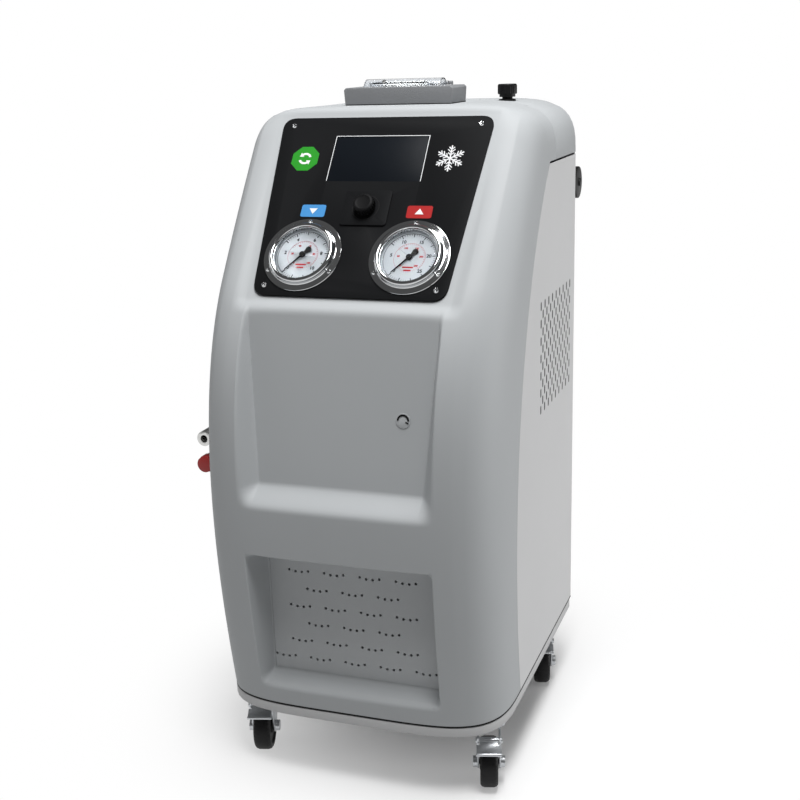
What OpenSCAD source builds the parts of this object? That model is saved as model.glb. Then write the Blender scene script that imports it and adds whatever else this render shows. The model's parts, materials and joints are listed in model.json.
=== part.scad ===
// Refrigerant recovery machine on four braked casters.
// Millimetres. X across, Y from front (negative) to rear, Z up from the floor.

/* [Body] */
// Width across the side panels
body_w = 420; // [390:1:450]
// Depth of the base from front to rear
body_d = 474; // [455:1:500]
// Height of the side panels
side_h = 728; // [715:1:760]
// Height of the moulded top above the side panels
top_h = 81; // [76:1:90]
// Height of the base tray rim
tray_h = 16; // [14:1:22]
// Wall of the moulded cover and hood
wall = 3; // [2.5:0.1:4]
// Thickness of the sheet metal
sheet = 1.2; // [1:0.1:1.8]
// How far the front swells forward of the base
belly = 34; // [26:1:38]
// Lean of the instrument face from the vertical
face_lean = 39.5; // [38:0.5:41]

/* [Recesses] */
// Half width of the upper recess
upper_half = 139; // [132:1:142]
// Height of the foot of the upper recess above the tray rim
upper_low = 331; // [320:1:340]
// Half width of the perforated insert
grille_half = 122; // [120:1:124]
// Height of the perforated insert
grille_h = 180; // [172:1:184]
// Diameter of one perforation
grille_hole = 4; // [3:0.1:5]

/* [Instruments] */
// Half width of the fascia at its lower edge
fascia_low = 134; // [132:1:138]
// Half width of the fascia at its upper edge
fascia_high = 154; // [148:1:158]
// Length of the fascia along the slope
fascia_len = 282; // [278:1:288]
// Thickness of the fascia
fascia_t = 3; // [2:0.1:4]
// Distance between the two gauge centres
gauge_pitch = 150; // [146:1:154]
// Diameter of a gauge flange
gauge_flange = 110; // [106:1:112]
// Diameter of a gauge dial
gauge_dial = 76; // [72:1:78]
// Diameter of the selector knob
knob_d = 28; // [24:1:32]
// Press of the selector knob
knob_press = 1.2; // [0.8:0.1:1.6]

/* [Vents] */
// Columns of side slots
vent_cols = 17; // [13:2:17]
// Length of a side slot
vent_len = 13; // [11:0.5:15]
// Width of a side slot
vent_wide = 6.4; // [5:0.1:7.2]

/* [Casters] */
// Wheel diameter
wheel_d = 71; // [68:1:76]
// Swivel of the casters at rest
caster_swivel = 16; // [-30:1:30]
// Wheel width
wheel_w = 25; // [22:0.5:26]
// Height of the base above the floor
caster_h = 100; // [99:0.5:106]
// Running clearance of a pivot pin
pivot_fit = 0.05; // [0.02:0.01:0.1]
// Clearance between parts that turn past each other
run_gap = 1; // [0.6:0.1:1.2]

/* [Top and rear] */
// Width of the printer
printer_w = 160; // [150:1:170]
// Depth of the printer
printer_d = 70; // [66:1:74]
// Height of the printer body
printer_h = 24; // [22:0.5:26]
// Diameter of the paper roll
roll_d = 31; // [26:0.5:32]
// Diameter of the filler cap
cap_d = 27; // [24:0.5:30]
// Diameter of the push bar
bar_d = 25; // [22:0.5:28]
// Diameter of the round ends of the push bar
bar_end_d = 48; // [44:1:52]
// Gap between the rear panel and the push bar ends
bar_gap = 3; // [2:0.5:8]

/* [Hose ports] */
// Distance of the port openings from the side panel
port_out = 39; // [36:1:46]
// Diameter of a port body
port_d = 22; // [20:0.5:24]
// Bore of a port
port_bore = 11; // [9:0.5:12]
// Height of the upper port above the tray rim
port_up = 354; // [340:1:365]
// Vertical distance between the two ports
port_pitch = 38; // [34:1:44]

/* [Hidden] */
$fn = 48;
eps = 0.02;
hw = body_w / 2;
front_y = -body_d / 2;
rear_y = body_d / 2;
base_z = caster_h;
floor_z = base_z + 2;
rim_z = base_z + tray_h;
lid_z = rim_z + side_h;
top_z = lid_z + top_h;
seam_low_y = front_y + 133;
lid_front_y = rear_y - 171;
hood_y = rear_y - 132;
head_y = front_y + 239.374;
head_z = lid_z + 76.598;
seat_deep = 12;
face_e = [sin(face_lean), cos(face_lean)];
face_n = [-cos(face_lean), sin(face_lean)];
face_y = head_y - fascia_len * face_e[0];
face_z = head_z - fascia_len * face_e[1];
seam_gap = 1;
grille_y = front_y + 27;
grille_low = rim_z + 43;
grille_top = grille_low + grille_h;
grille_t = 2;
upper_z = rim_z + upper_low;

// Curves of the front: the centre line swells from the tray to the instrument face,
// the side seam runs from the tray to the front end of the lid seam.
function lerp(a, b, t) = a + (b - a) * t;
function bez(p, t) =
  pow(1 - t, 3) * p[0] + 3 * t * pow(1 - t, 2) * p[1] + 3 * t * t * (1 - t) * p[2] + pow(t, 3) * p[3];
function soft(t) = let (c = min(1, max(0, t))) c * c * (3 - 2 * c);
brow_lo = [face_y, face_z] + seat_deep * face_n;
brow_hi = brow_lo + (fascia_len - 40) * face_e;
brow_top = [brow_hi[0] + (top_z - brow_hi[1]) * tan(face_lean), top_z];
top_start_y = brow_top[0] + 40;
belly_curve = [
  [front_y, rim_z],
  [front_y - belly, rim_z + 207],
  brow_lo - 185 * face_e,
  brow_lo
];
seam_curve = [
  [seam_low_y, rim_z],
  [seam_low_y - 40, rim_z + 196],
  [lid_front_y - 202, lid_z - 208],
  [lid_front_y, lid_z]
];
seam_mid_y = bez(seam_curve, 0.5)[0];
fillet_curve = [brow_hi, lerp(brow_hi, brow_top, 0.75), lerp([top_start_y, top_z], brow_top, 0.75), [top_start_y, top_z]];

// Centre line point and side seam point of one row, as [y, z].
function centre_at(v) =
  v <= 1 ? bez(belly_curve, v)
  : v <= 2 ? lerp(brow_lo, brow_hi, v - 1)
  : v <= 3 ? bez(fillet_curve, v - 2)
  : lerp([top_start_y, top_z], [hood_y, top_z], v - 3);
function side_at(v) =
  v <= 1 ? bez(seam_curve, 0.78 * v)
  : v <= 2 ? bez(seam_curve, 0.78 + 0.17 * (v - 1))
  : v <= 3 ? bez(seam_curve, 0.95 + 0.05 * (v - 2))
  : lerp([lid_front_y, lid_z], [hood_y, lid_z], v - 3);
// Roundness of a section: full at the tray, squarer at the top.
function round_x(v) = v < 2 ? lerp(4.8, 7.6, v / 2) : lerp(7.6, 6.4, (v - 2) / 2);
function round_y(v) = v < 2 ? lerp(3.3, 4.3, v / 2) : lerp(4.3, 3, (v - 2) / 2);

rows = [
  0, 0.02, 0.04, 0.05, 0.06, 0.07, 0.085, 0.1, 0.14, 0.2, 0.27, 0.33, 0.345, 0.352, 0.36, 0.368, 0.38,
  0.41, 0.44, 0.47, 0.48, 0.49, 0.5, 0.508, 0.53, 0.56, 0.62, 0.68, 0.74, 0.8, 0.86, 0.91, 0.95, 0.968, 1,
  1.08, 1.3, 1.6, 1.86, 1.94, 2, 2.2, 2.4, 2.6, 2.8, 3, 4
];
half_cols = [0, 0.3, 0.45, 0.515, 0.54, 0.565, 0.59, 0.615, 0.64, 0.675, 0.71, 0.745, 0.79];
corner_cols = [42, 50, 58, 66, 74, 82, 90];

// One station across the section: [x fraction, share of the way from centre to seam].
function station(i, v) =
  let (n = round_x(v), m = round_y(v))
  i < len(half_cols)
    ? [half_cols[i], 1 - pow(1 - pow(half_cols[i], n), 1 / m)]
    : let (a = corner_cols[i - len(half_cols)]) [pow(sin(a), 2 / n), 1 - pow(cos(a), 2 / m)];
half_n = len(half_cols) + len(corner_cols);
cols = 2 * half_n - 1;

// Floor of the upper recess, leaning back as it rises.
recess_slope = 0.147;
function recess_y(z) = front_y - 1.7 + (z - upper_z) * recess_slope;

// Clearance between the fascia and its seat.
seat_gap = 0.15;
// Soft recesses and the flat seat of the fascia, taken out of the swelling front.
function inside(x, half, blend) = soft((half + blend - abs(x)) / blend);
function between(z, lo, hi, blend_lo, blend_hi) =
  soft((z - lo + blend_lo) / blend_lo) * soft((hi + blend_hi - z) / blend_hi);
// Share of a recess across a wall: rolled at its outer edge, creased at its foot.
function creased(t) = pow(min(1, max(0, t)), 1.6);
// Depth of the upper recess, running out softly where its floor meets the skin.
head_ease = 7;
function eased_push(t) = abs(t) < head_ease ? pow(t + head_ease, 2) / (4 * head_ease) : max(0, t);
function recessed(q, d) =
  let (
    low_w = creased((grille_half + 12 - abs(q[0])) / 10)
      * creased((q[2] - grille_low + 16) / 14) * creased((grille_top + 13 - q[2]) / 11),
    low_y = max(0, grille_y + d - q[1]),
    foot = 7 + 16 * min(1, max(0, 1 - (q[2] - upper_z) / 200)),
    up_w = creased((upper_half - abs(q[0])) / foot) * creased((q[2] - upper_z + 28) / 28),
    up_y = eased_push(recess_y(q[2]) + d - q[1])
  )
  [q[0], q[1] + low_w * low_y + up_w * up_y * (1 - low_w), q[2]];
function seated(q, d) =
  let (
    r = [q[1] - face_y, q[2] - face_z],
    s = r * face_e,
    h = r * face_n + d + seat_gap,
    half = lerp(fascia_low, fascia_high, (s + 15) / fascia_len) + 8,
    w = inside(q[0], half, 22) * between(s, -18, fascia_len - 12, 26, 14)
  )
  [q[0], q[1] - w * h * face_n[0], q[2] - w * h * face_n[1]];
function skin(j, v, d) =
  let (
    k = j - (half_n - 1),
    st = station(abs(k), v),
    s = side_at(v),
    c0 = centre_at(v),
    c = c0 + d * (s - c0) / norm(s - c0),
    yz = lerp(c, s, st[1])
  )
  [sign(k) * st[0] * (hw - d), yz[0], yz[1]];
function cover_at(j, v, d) = seated(recessed(skin(j, v, d), d), d);

// Closed shell from the grid: outer skin, inner skin and the four rims.
module front_shell() {
  nr = len(rows);
  n = nr * cols;
  pts = [for (d = [0, wall]) for (v = rows) for (j = [0 : cols - 1]) cover_at(j, v, d)];
  outer = [
    for (i = [0 : nr - 2]) for (j = [0 : cols - 2])
      let (a = i * cols + j) each [[a, a + cols, a + 1], [a + 1, a + cols, a + cols + 1]]
  ];
  inner = [for (f = outer) [f[0] + n, f[2] + n, f[1] + n]];
  foot = [for (j = [0 : cols - 2]) each [[j, j + 1, n + j], [n + j, j + 1, n + j + 1]]];
  crown = [
    for (j = [0 : cols - 2])
      let (a = (nr - 1) * cols + j) each [[a, n + a, a + 1], [a + 1, n + a, n + a + 1]]
  ];
  left = [for (i = [0 : nr - 2]) let (a = i * cols, b = a + cols) each [[a, n + a, b], [b, n + a, n + b]]];
  right = [
    for (i = [0 : nr - 2])
      let (a = i * cols + cols - 1, b = a + cols) each [[a, b, n + a], [b, n + b, n + a]]
  ];
  polyhedron(points = pts, faces = concat(outer, inner, foot, crown, left, right), convexity = 8);
}

// The machine is centred on its own bounding box over the floor.
front_min = min([for (v = rows) for (j = [0 : cols - 1]) cover_at(j, v, 0)[1]]);
port_cap_r = port_d / 2 + 1.5;
stud_h = 3;
port_x = -(hw + port_out);
bar_y = rear_y + bar_gap + bar_end_d / 2;
bar_z = lid_z - 48;
frame_x = (port_out + port_cap_r - stud_h) / 2;
frame_y = -(front_min + bar_y + bar_end_d / 2) / 2;
module placed() {
  translate([frame_x, frame_y, 0]) children();
}

// Helpers: rods along an axis, boxes between corners, the two sloping faces.
module rod_x(r, l) {
  rotate([0, 90, 0]) cylinder(r = r, h = l, center = true);
}
module rod_y(r, l) {
  rotate([90, 0, 0]) cylinder(r = r, h = l, center = true);
}
module box(x0, x1, y0, y1, z0, z1) {
  translate([x0, y0, z0]) cube([x1 - x0, y1 - y0, z1 - z0]);
}
module on_face(x = 0, s = 0, h = 0) {
  translate([0, face_y, face_z]) rotate([90 - face_lean, 0, 0]) translate([x, s, h]) children();
}
module on_recess(x, z) {
  translate([x, recess_y(z), z]) rotate([90 - atan(recess_slope), 0, 0]) children();
}
module both() {
  children();
  mirror([1, 0, 0]) children();
}
// Closed outline with its corners eased by a distance r.
function eased(p, r) =
  let (n = len(p))
  [
    for (i = [0 : n - 1])
      let (
        a = p[(i + n - 1) % n],
        b = p[(i + 1) % n],
        t0 = p[i] + (a - p[i]) / norm(a - p[i]) * r,
        t1 = p[i] + (b - p[i]) / norm(b - p[i]) * r
      )
      for (k = [0 : 0.125 : 1]) pow(1 - k, 2) * t0 + 2 * k * (1 - k) * p[i] + k * k * t1
  ];

// Casing
function tray_line(d) =
  concat(
    [for (j = [0 : cols - 1]) let (q = skin(j, 0, d)) [q[0], q[1]]],
    [[hw - d, rear_y - 8], [hw - 8, rear_y - d], [8 - hw, rear_y - d], [d - hw, rear_y - 8]]
  );
groove = 2.5;
module base_tray() {
  color("#8b8e91") difference() {
    union() {
      translate([0, 0, base_z]) linear_extrude(tray_h - groove) polygon(tray_line(0));
      translate([0, 0, base_z]) linear_extrude(tray_h) polygon(tray_line(1));
    }
    translate([0, 0, floor_z]) linear_extrude(tray_h) polygon(tray_line(wall));
    for (c = casters) translate([c[0], c[1], base_z - 1]) cylinder(r = 9, h = 4);
  }
}

// Inner frame of square tube
tube = 25;
post_x = hw - 22;
post_front_y = seam_mid_y + 55.75;
post_rear_y = rear_y - wall - 0.3 - tube / 2;
rail_z = rim_z + 490;
module post(x, y, top) {
  difference() {
    box(x - tube / 2, x + tube / 2, y - tube / 2, y + tube / 2, floor_z, top);
    box(x - tube / 2 + 2, x + tube / 2 - 2, y - tube / 2 + 2, y + tube / 2 - 2, floor_z - 1, top + 1);
  }
}
module chassis() {
  color("#3a3d40") {
    both() {
      post(post_x, post_front_y, rail_z + tube);
      post(post_x, post_rear_y, lid_z - 8);
      box(post_x - 10, post_x + 10, post_front_y + tube / 2, post_rear_y - tube / 2, rail_z, rail_z + 20);
    }
    for (p = [[post_front_y, rail_z], [post_rear_y, lid_z - 40]])
      box(tube / 2 - post_x, post_x - tube / 2, p[0] - 10, p[0] + 10, p[1], p[1] + 20);
  }
}

fascia_foot = -15;
function fascia_line(d) =
  eased(
    [
      [-fascia_low + d, fascia_foot + d],
      [fascia_low - d, fascia_foot + d],
      [fascia_high - d, fascia_foot + fascia_len - d],
      [d - fascia_high, fascia_foot + fascia_len - d]
    ],
    20
  );
lock_x = 87;
lock_z = upper_z + 97;
lock_r = 6;
module insert_block(d, y0, y1) {
  box(d - grille_half, grille_half - d, y0, y1, grille_low + d, grille_top - d);
}
module front_cover() {
  color("#b4b7ba") difference() {
    front_shell();
    on_face(0, 0, -wall - 5) linear_extrude(wall + 20) polygon(fascia_line(14));
    insert_block(0, grille_y - 8, grille_y + wall + 8);
    on_recess(lock_x, lock_z) cylinder(r = lock_r + pivot_fit, h = 40, center = true);
  }
}

// Perforated insert: staggered rows of four-hole groups, each group sagging at its middle
insert_gap = 0.4;
hole_pitch = 9.5;
group_pitch = (grille_half * 2 - 4 * hole_pitch) / 4 + 1;
row_pitch = grille_h / 6.83;
module front_grille() {
  color("#84888b") difference() {
    union() {
      insert_block(insert_gap, grille_y, grille_y + wall + grille_t);
      box(-grille_half - 8, grille_half + 8, grille_y + wall, grille_y + wall + grille_t, grille_low - 5, grille_top + 5);
    }
    for (row = [0 : 5])
      let (groups = row == 0 ? 5 : row % 2 == 1 ? 4 : 3)
        for (g = [0 : groups - 1]) for (k = [0 : 3])
          translate([
            (g - (groups - 1) / 2) * group_pitch + (k - 1.5) * hole_pitch,
            grille_y + wall,
            grille_low + row_pitch * (row + 0.75) + (abs(k - 1.5) > 1 ? 1.8 : 0)
          ]) rotate([90, 0, 0]) cylinder(d = grille_hole, h = 14, center = true, $fn = 16);
  }
}

// Hood: the section of the cover's rear edge carried on to the rear panel
function hood_line(d) = [for (j = [0 : cols - 1]) let (q = skin(j, 4, d)) [q[0], q[2]]];
cap_x = hw - 82;
cap_y = hood_y + 42;
neck_r = 12;
module hood_block(d, y0, y1) {
  translate([0, y1, 0]) rotate([90, 0, 0]) linear_extrude(y1 - y0) polygon(hood_line(d));
}
module top_hood() {
  color("#b4b7ba") difference() {
    intersection() {
      hood_block(0, hood_y + seam_gap, rear_y);
      rotate([90, 0, 90]) linear_extrude(body_w + 2, center = true) polygon(eased([
        [hood_y - 30, lid_z - 30],
        [rear_y, lid_z - 30],
        [rear_y, top_z],
        [hood_y - 30, top_z]
      ], 14));
    }
    hood_block(wall, hood_y - 1, rear_y - wall);
    translate([cap_x, cap_y, top_z - 20]) cylinder(r = neck_r, h = 30);
  }
}

// Sheet metal sides cut along the seam of the cover
seam_steps = 28;
lid_gap = 3;
function side_line() =
  concat(
    [for (k = [0 : seam_steps]) let (q = bez(seam_curve, k / seam_steps)) [q[0] + seam_gap, min(q[1], lid_z - lid_gap)]],
    [[rear_y, lid_z - lid_gap], [rear_y, rim_z]]
  );
module side_sheet() {
  rotate([90, 0, 90]) linear_extrude(sheet) polygon(side_line());
}
vent_mid_y = rear_y - 127;
vent_mid_z = rim_z + 459;
vent_pitch = 11.8;
vent_rise = 25;
module side_right() {
  color("#a9abad") difference() {
    translate([hw - sheet, 0, 0]) side_sheet();
    for (c = [0 : vent_cols - 1])
      let (n = c % 2 == 0 ? 7 : 6)
        for (k = [0 : n - 1])
          translate([hw, vent_mid_y + (c - (vent_cols - 1) / 2) * vent_pitch, vent_mid_z + (k - (n - 1) / 2) * vent_rise]) {
            cube([4 * sheet, vent_wide, vent_len - vent_wide], center = true);
            for (s = [-1, 1]) translate([0, 0, s * (vent_len - vent_wide) / 2]) rod_x(vent_wide / 2, 4 * sheet);
          }
  }
}
port_y = seam_mid_y + 26;
port_z = [rim_z + port_up, rim_z + port_up - port_pitch];
stub_r = 8;
module side_left() {
  color("#a9abad") difference() {
    translate([-hw, 0, 0]) side_sheet();
    for (z = port_z) translate([-hw, port_y, z]) rod_x(stub_r + pivot_fit, 4 * sheet);
  }
}
inlet_x = 40 - hw + 30;
inlet_z = rim_z + 70;
module rear_panel() {
  color("#a9abad") difference() {
    box(sheet - hw, hw - sheet, rear_y - sheet, rear_y, rim_z, lid_z);
    box(inlet_x - 20, inlet_x + 56, rear_y - 5, rear_y + 5, rim_z - 1, inlet_z + 18);
  }
}

// Fascia and what it carries
screen_w = 132;
screen_up = 163;
screen_h = fascia_foot + fascia_len - 32 - screen_up;
screen_s = screen_up + screen_h / 2;
gauge_s = 47;
knob_s = gauge_s + 73;
case_r = gauge_dial / 2 + 4;
module fascia() {
  color("#222325") on_face() difference() {
    linear_extrude(fascia_t) polygon(fascia_line(0));
    translate([-screen_w / 2, screen_s - screen_h / 2, -1]) cube([screen_w, screen_h, fascia_t + 2]);
    for (s = [-1, 1]) translate([s * gauge_pitch / 2, gauge_s, -1]) cylinder(r = case_r, h = fascia_t + 2);
    translate([0, knob_s, -1]) cylinder(r = 3.5 + pivot_fit, h = fascia_t + 2);
  }
}
screw_x = [fascia_low - 14, fascia_high - 18];
screw_s = [0, fascia_foot + fascia_len - 13];
ring_t = 2;
module screw_head(r, h) {
  difference() {
    cylinder(r1 = r, r2 = r * 0.7, h = h);
    translate([0, 0, h]) cube([0.9, 1.4 * r, 1], center = true);
    translate([0, 0, h]) cube([1.4 * r, 0.9, 1], center = true);
  }
}
module fascia_screws() {
  color("#d5d7d9") {
    for (s = [-1, 1]) for (k = [0, 1]) on_face(s * screw_x[k], screw_s[k], fascia_t) screw_head(4.2, 2);
    for (s = [-1, 1]) for (a = [90, 210, 330])
      on_face(
        s * gauge_pitch / 2 + (gauge_flange / 2 - 4.5) * cos(a),
        gauge_s + (gauge_flange / 2 - 4.5) * sin(a),
        fascia_t + ring_t
      ) screw_head(3, 1.6);
  }
}
module display() {
  color("#171b20") on_face(0, screen_s, 0) {
    translate([-screen_w / 2, -screen_h / 2, 0]) cube([screen_w, screen_h, fascia_t - 0.6]);
    translate([-screen_w / 2 - 6, -screen_h / 2 - 6, -12]) cube([screen_w + 12, screen_h + 12, 12]);
  }
}

// Panel gauge: flange, bezel and closed case in one turned body, then dial, pointer and lens
dial_h = 1.5;
lens_h = fascia_t + 6;
module gauge_body(side) {
  r = gauge_dial / 2;
  on_face(side * gauge_pitch / 2, gauge_s, 0) {
    rotate_extrude($fn = 96) polygon([
      [0, -34], [case_r, -34], [case_r, fascia_t], [gauge_flange / 2, fascia_t],
      [gauge_flange / 2, fascia_t + ring_t], [case_r + 3.5, fascia_t + ring_t], [case_r + 3, fascia_t + 8],
      [case_r + 1, fascia_t + 10], [r + 1, fascia_t + 10], [r + 1, lens_h], [r, lens_h], [r, dial_h],
      [r - 2, dial_h], [r - 2, -30], [0, -30]
    ]);
    translate([0, 0, -54]) cylinder(r = 7, h = 20);
  }
}
module gauge_dial_plate(side) {
  color("#f4f5f3") on_face(side * gauge_pitch / 2, gauge_s, dial_h) difference() {
    cylinder(r = gauge_dial / 2 - 0.2, h = 0.8, $fn = 96);
    cylinder(r = 1.5 + pivot_fit, h = 3, center = true);
  }
}
module gauge_glass(side) {
  color("#dfe8ee") on_face(side * gauge_pitch / 2, gauge_s, lens_h) cylinder(r = gauge_dial / 2 + 0.8, h = 1.6, $fn = 96);
}
zero_turn = 228;
module gauge_needle(side) {
  color("#141414") on_face(side * gauge_pitch / 2, gauge_s, dial_h) {
    translate([0, 0, -6]) cylinder(r = 1.5, h = 10);
    translate([0, 0, 2]) cylinder(r = 4, h = 2.5);
    translate([0, 0, 2.6]) linear_extrude(0.8) rotate(zero_turn) polygon([
      [-15, 0], [-13.5, -3.6], [-10.5, -4.4], [-4, -1.6], [0, -1.4], [gauge_dial / 2 - 7, -0.4],
      [gauge_dial / 2 - 7, 0.4], [0, 1.4], [-4, 1.6], [-10.5, 4.4], [-13.5, 3.6]
    ]);
  }
}
module low_gauge() {
  color("#c9ccce") gauge_body(-1);
}
module high_gauge() {
  color("#c9ccce") gauge_body(1);
}
module low_dial() {
  gauge_dial_plate(-1);
}
module high_dial() {
  gauge_dial_plate(1);
}
module low_glass() {
  gauge_glass(-1);
}
module high_glass() {
  gauge_glass(1);
}
module low_needle() {
  gauge_needle(-1);
}
module high_needle() {
  gauge_needle(1);
}

// Selector: raised plate, spindle that presses in, knob that turns on it
plate_t = 2.4;
knob_gap = knob_press + 0.6;
module knob_plate() {
  color("#2a2b2d") on_face(0, knob_s, fascia_t) difference() {
    translate([-33, -27, 0]) linear_extrude(plate_t) polygon(eased([[0, 0], [66, 0], [66, 54], [0, 54]], 5));
    translate([0, 0, -1]) cylinder(r = 3.5 + pivot_fit, h = plate_t + 2);
  }
}
module knob_spindle() {
  color("#8d9093") on_face(0, knob_s, -14) {
    cylinder(r = 3.5, h = 14 + fascia_t + plate_t + knob_gap + 6);
  }
}
module knob() {
  color("#1b1c1d") on_face(0, knob_s, fascia_t + plate_t + knob_gap) difference() {
    union() {
      cylinder(d = knob_d, h = 11);
      translate([0, 0, 11]) cylinder(d1 = knob_d, d2 = knob_d - 3, h = 1.5);
    }
    translate([0, 0, -1]) cylinder(r = 3.5 + pivot_fit, h = 7 + eps);
    translate([0, 0, 12.1]) cylinder(d = knob_d - 9, h = 2);
    translate([0, knob_d / 2 - 3, 12.5]) cube([1.6, 6, 1.6], center = true);
  }
}

// Quarter-turn fastener in the upper recess
module cover_lock() {
  color("#6f7376") on_recess(lock_x, lock_z) {
    difference() {
      cylinder(r = lock_r + 4, h = 0.8);
      rotate_extrude(angle = 180) translate([6.2, 0.3]) square([2, 2]);
    }
    translate([0, 0, -14]) cylinder(r = lock_r, h = 14);
    translate([-5, -5, -17]) cube([24, 10, 3]);
  }
}

// Thermal printer on the cover's flat top
printer_y = top_start_y + 2;
printer_top = top_z + printer_h;
roll_y = printer_y + printer_d / 2;
roll_z = printer_top - 8.5;
roll_w = 58;
roll_pin = 5;
dome_r = 19;
dome_t = 1.5;
dome_half = 0.4 * printer_w;
hinge_y = roll_y + dome_r + 3.5;
hinge_z = printer_top + 3;
module printer_body() {
  color("#85888b") {
    difference() {
      translate([0, printer_y + printer_d, 0]) rotate([90, 0, 0]) linear_extrude(printer_d) polygon([
        [1.5 - printer_w / 2, top_z],
        [printer_w / 2 - 1.5, top_z],
        [printer_w / 2, printer_top - 3],
        [printer_w / 2 - 3, printer_top],
        [3 - printer_w / 2, printer_top],
        [-printer_w / 2, printer_top - 3]
      ]);
      translate([0, roll_y, roll_z]) rod_x(roll_d / 2 + 1.5, roll_w + 2);
      box(-roll_w / 2 - 1, roll_w / 2 + 1, roll_y - roll_d / 2 - 1.5, roll_y + roll_d / 2 + 1.5, roll_z, printer_top + 1);
    }
    for (s = [-1, 1]) {
      translate([s * (roll_w / 2 - 2), roll_y, roll_z]) rod_x(roll_pin, 6);
      translate([s * (dome_half - 3), hinge_y, hinge_z]) difference() {
        union() {
          rod_x(2.6, 5);
          box(-2.5, 2.5, -2.6, 2.6, printer_top - hinge_z, 0);
        }
      }
    }
    translate([0, hinge_y, hinge_z]) rod_x(1.3, 2 * dome_half - 6);
  }
}
module printer_cover() {
  color("#cfd6da") {
    difference() {
      union() {
        difference() {
          translate([0, roll_y, roll_z]) rod_x(dome_r, 2 * dome_half - 14);
          translate([0, roll_y, roll_z]) rod_x(dome_r - dome_t, 2 * dome_half - 17);
        }
        translate([0, hinge_y, hinge_z]) rod_x(2.6, 2 * dome_half - 13);
        box(6.5 - dome_half, dome_half - 6.5, hinge_y - 6.5, hinge_y, hinge_z - 1, hinge_z + 1);
      }
      box(-dome_half, dome_half, roll_y - 2 * dome_r, hinge_y - 3, roll_z - 2 * dome_r, printer_top + 0.4);
      translate([0, roll_y, roll_z]) rod_x(dome_r - dome_t, 2 * dome_half - 17);
      translate([0, hinge_y, hinge_z]) rod_x(1.3 + pivot_fit, 2 * dome_half);
    }
    translate([-26, roll_y - dome_r * 0.72, roll_z + dome_r * 0.72]) rotate([45, 0, 0]) cylinder(r = 2.6, h = 4, center = true);
  }
}
module paper_roll() {
  color("#f2f2ef") translate([0, roll_y, roll_z]) difference() {
    rod_x(roll_d / 2, roll_w);
    rod_x(roll_pin + pivot_fit, roll_w + 2);
  }
}

// Filler neck and screw cap on the hood
module filler_neck() {
  color("#1d1e1f") translate([cap_x, cap_y, 0]) difference() {
    union() {
      translate([0, 0, top_z - 8]) cylinder(r = neck_r, h = 9);
      translate([0, 0, top_z]) cylinder(r = 7.5, h = 15);
    }
    translate([0, 0, top_z - 9]) cylinder(r = 5, h = 30);
  }
}
module filler_cap() {
  color("#151515") translate([cap_x, cap_y, top_z + 4]) difference() {
    union() {
      cylinder(d = cap_d - 4, h = 4);
      translate([0, 0, 4]) cylinder(d = cap_d, h = 13);
      translate([0, 0, 17]) cylinder(d1 = cap_d, d2 = cap_d - 2, h = 1);
      for (a = [0 : 30 : 330]) rotate(a) translate([cap_d / 2 - 0.6, 0, 5]) cylinder(r = 1.4, h = 11, $fn = 16);
    }
    translate([0, 0, -1]) cylinder(r = 7.5 + pivot_fit, h = 12.5);
  }
}

// Hose ports: stub through the side panel, elbow turned to the front
port_len = 58;
module hose_port(z) {
  translate([0, port_y, z]) difference() {
    union() {
      translate([-hw + (sheet + 8 - port_out) / 2, 0, 0]) rod_x(stub_r, port_out + sheet + 8);
      translate([-hw - 2, 0, 0]) rod_x(stub_r + 5, 4);
      translate([sheet - hw + 4, 0, 0]) rod_x(stub_r + 4, 8);
      translate([port_x, 5 - port_len / 2, 0]) rod_y(port_d / 2, port_len + 10);
      translate([port_x, -20, 0]) rod_y(port_d / 2 + 1, 6);
    }
    translate([port_x, -port_len, 0]) rod_y(port_bore / 2, 2 * port_len - 8);
    translate([-hw, 0, 0]) rod_x(port_bore / 2 - 1, 2 * port_out);
  }
}
module low_port() {
  color("#b9bcbe") hose_port(port_z[0]);
}
module high_port() {
  color("#b9bcbe") hose_port(port_z[1]);
}
module port_cap() {
  color("#b0221f") translate([port_x, port_y - port_len - 2, port_z[1]]) difference() {
    union() {
      translate([0, 8, 0]) rod_y(port_cap_r - 0.8, 20);
      for (a = [0 : 30 : 330]) rotate([0, a, 0]) translate([port_cap_r - 1.4, 8, 0]) rotate([90, 0, 0])
        cylinder(r = 1.4, h = 16, center = true, $fn = 16);
    }
    translate([0, 14, 0]) rod_y(port_d / 2 + pivot_fit, 24);
  }
}

// Push bar across the rear
arm_x = hw - 62;
arm_t = 10;
module push_bar() {
  color("#222426") {
    translate([0, bar_y, bar_z]) rod_x(bar_d / 2, 2 * hw - 20);
    both() {
      translate([hw - 6, bar_y, bar_z]) rod_x(bar_end_d / 2, 12);
      translate([hw + stud_h / 2, bar_y, bar_z]) rod_x(6, stud_h);
    }
  }
}
module bar_arms() {
  color("#3a3d40") both() translate([arm_x, 0, bar_z]) difference() {
    union() {
      translate([0, bar_y, 0]) rod_x(bar_d / 2 + 5, arm_t);
      box(-arm_t / 2, arm_t / 2, rear_y, bar_y, -bar_d / 2, bar_d / 2);
      box(-arm_t, arm_t, rear_y, rear_y + 3, -28, 28);
    }
    translate([0, bar_y, 0]) rod_x(bar_d / 2 + pivot_fit, arm_t + 2);
  }
}

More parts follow.
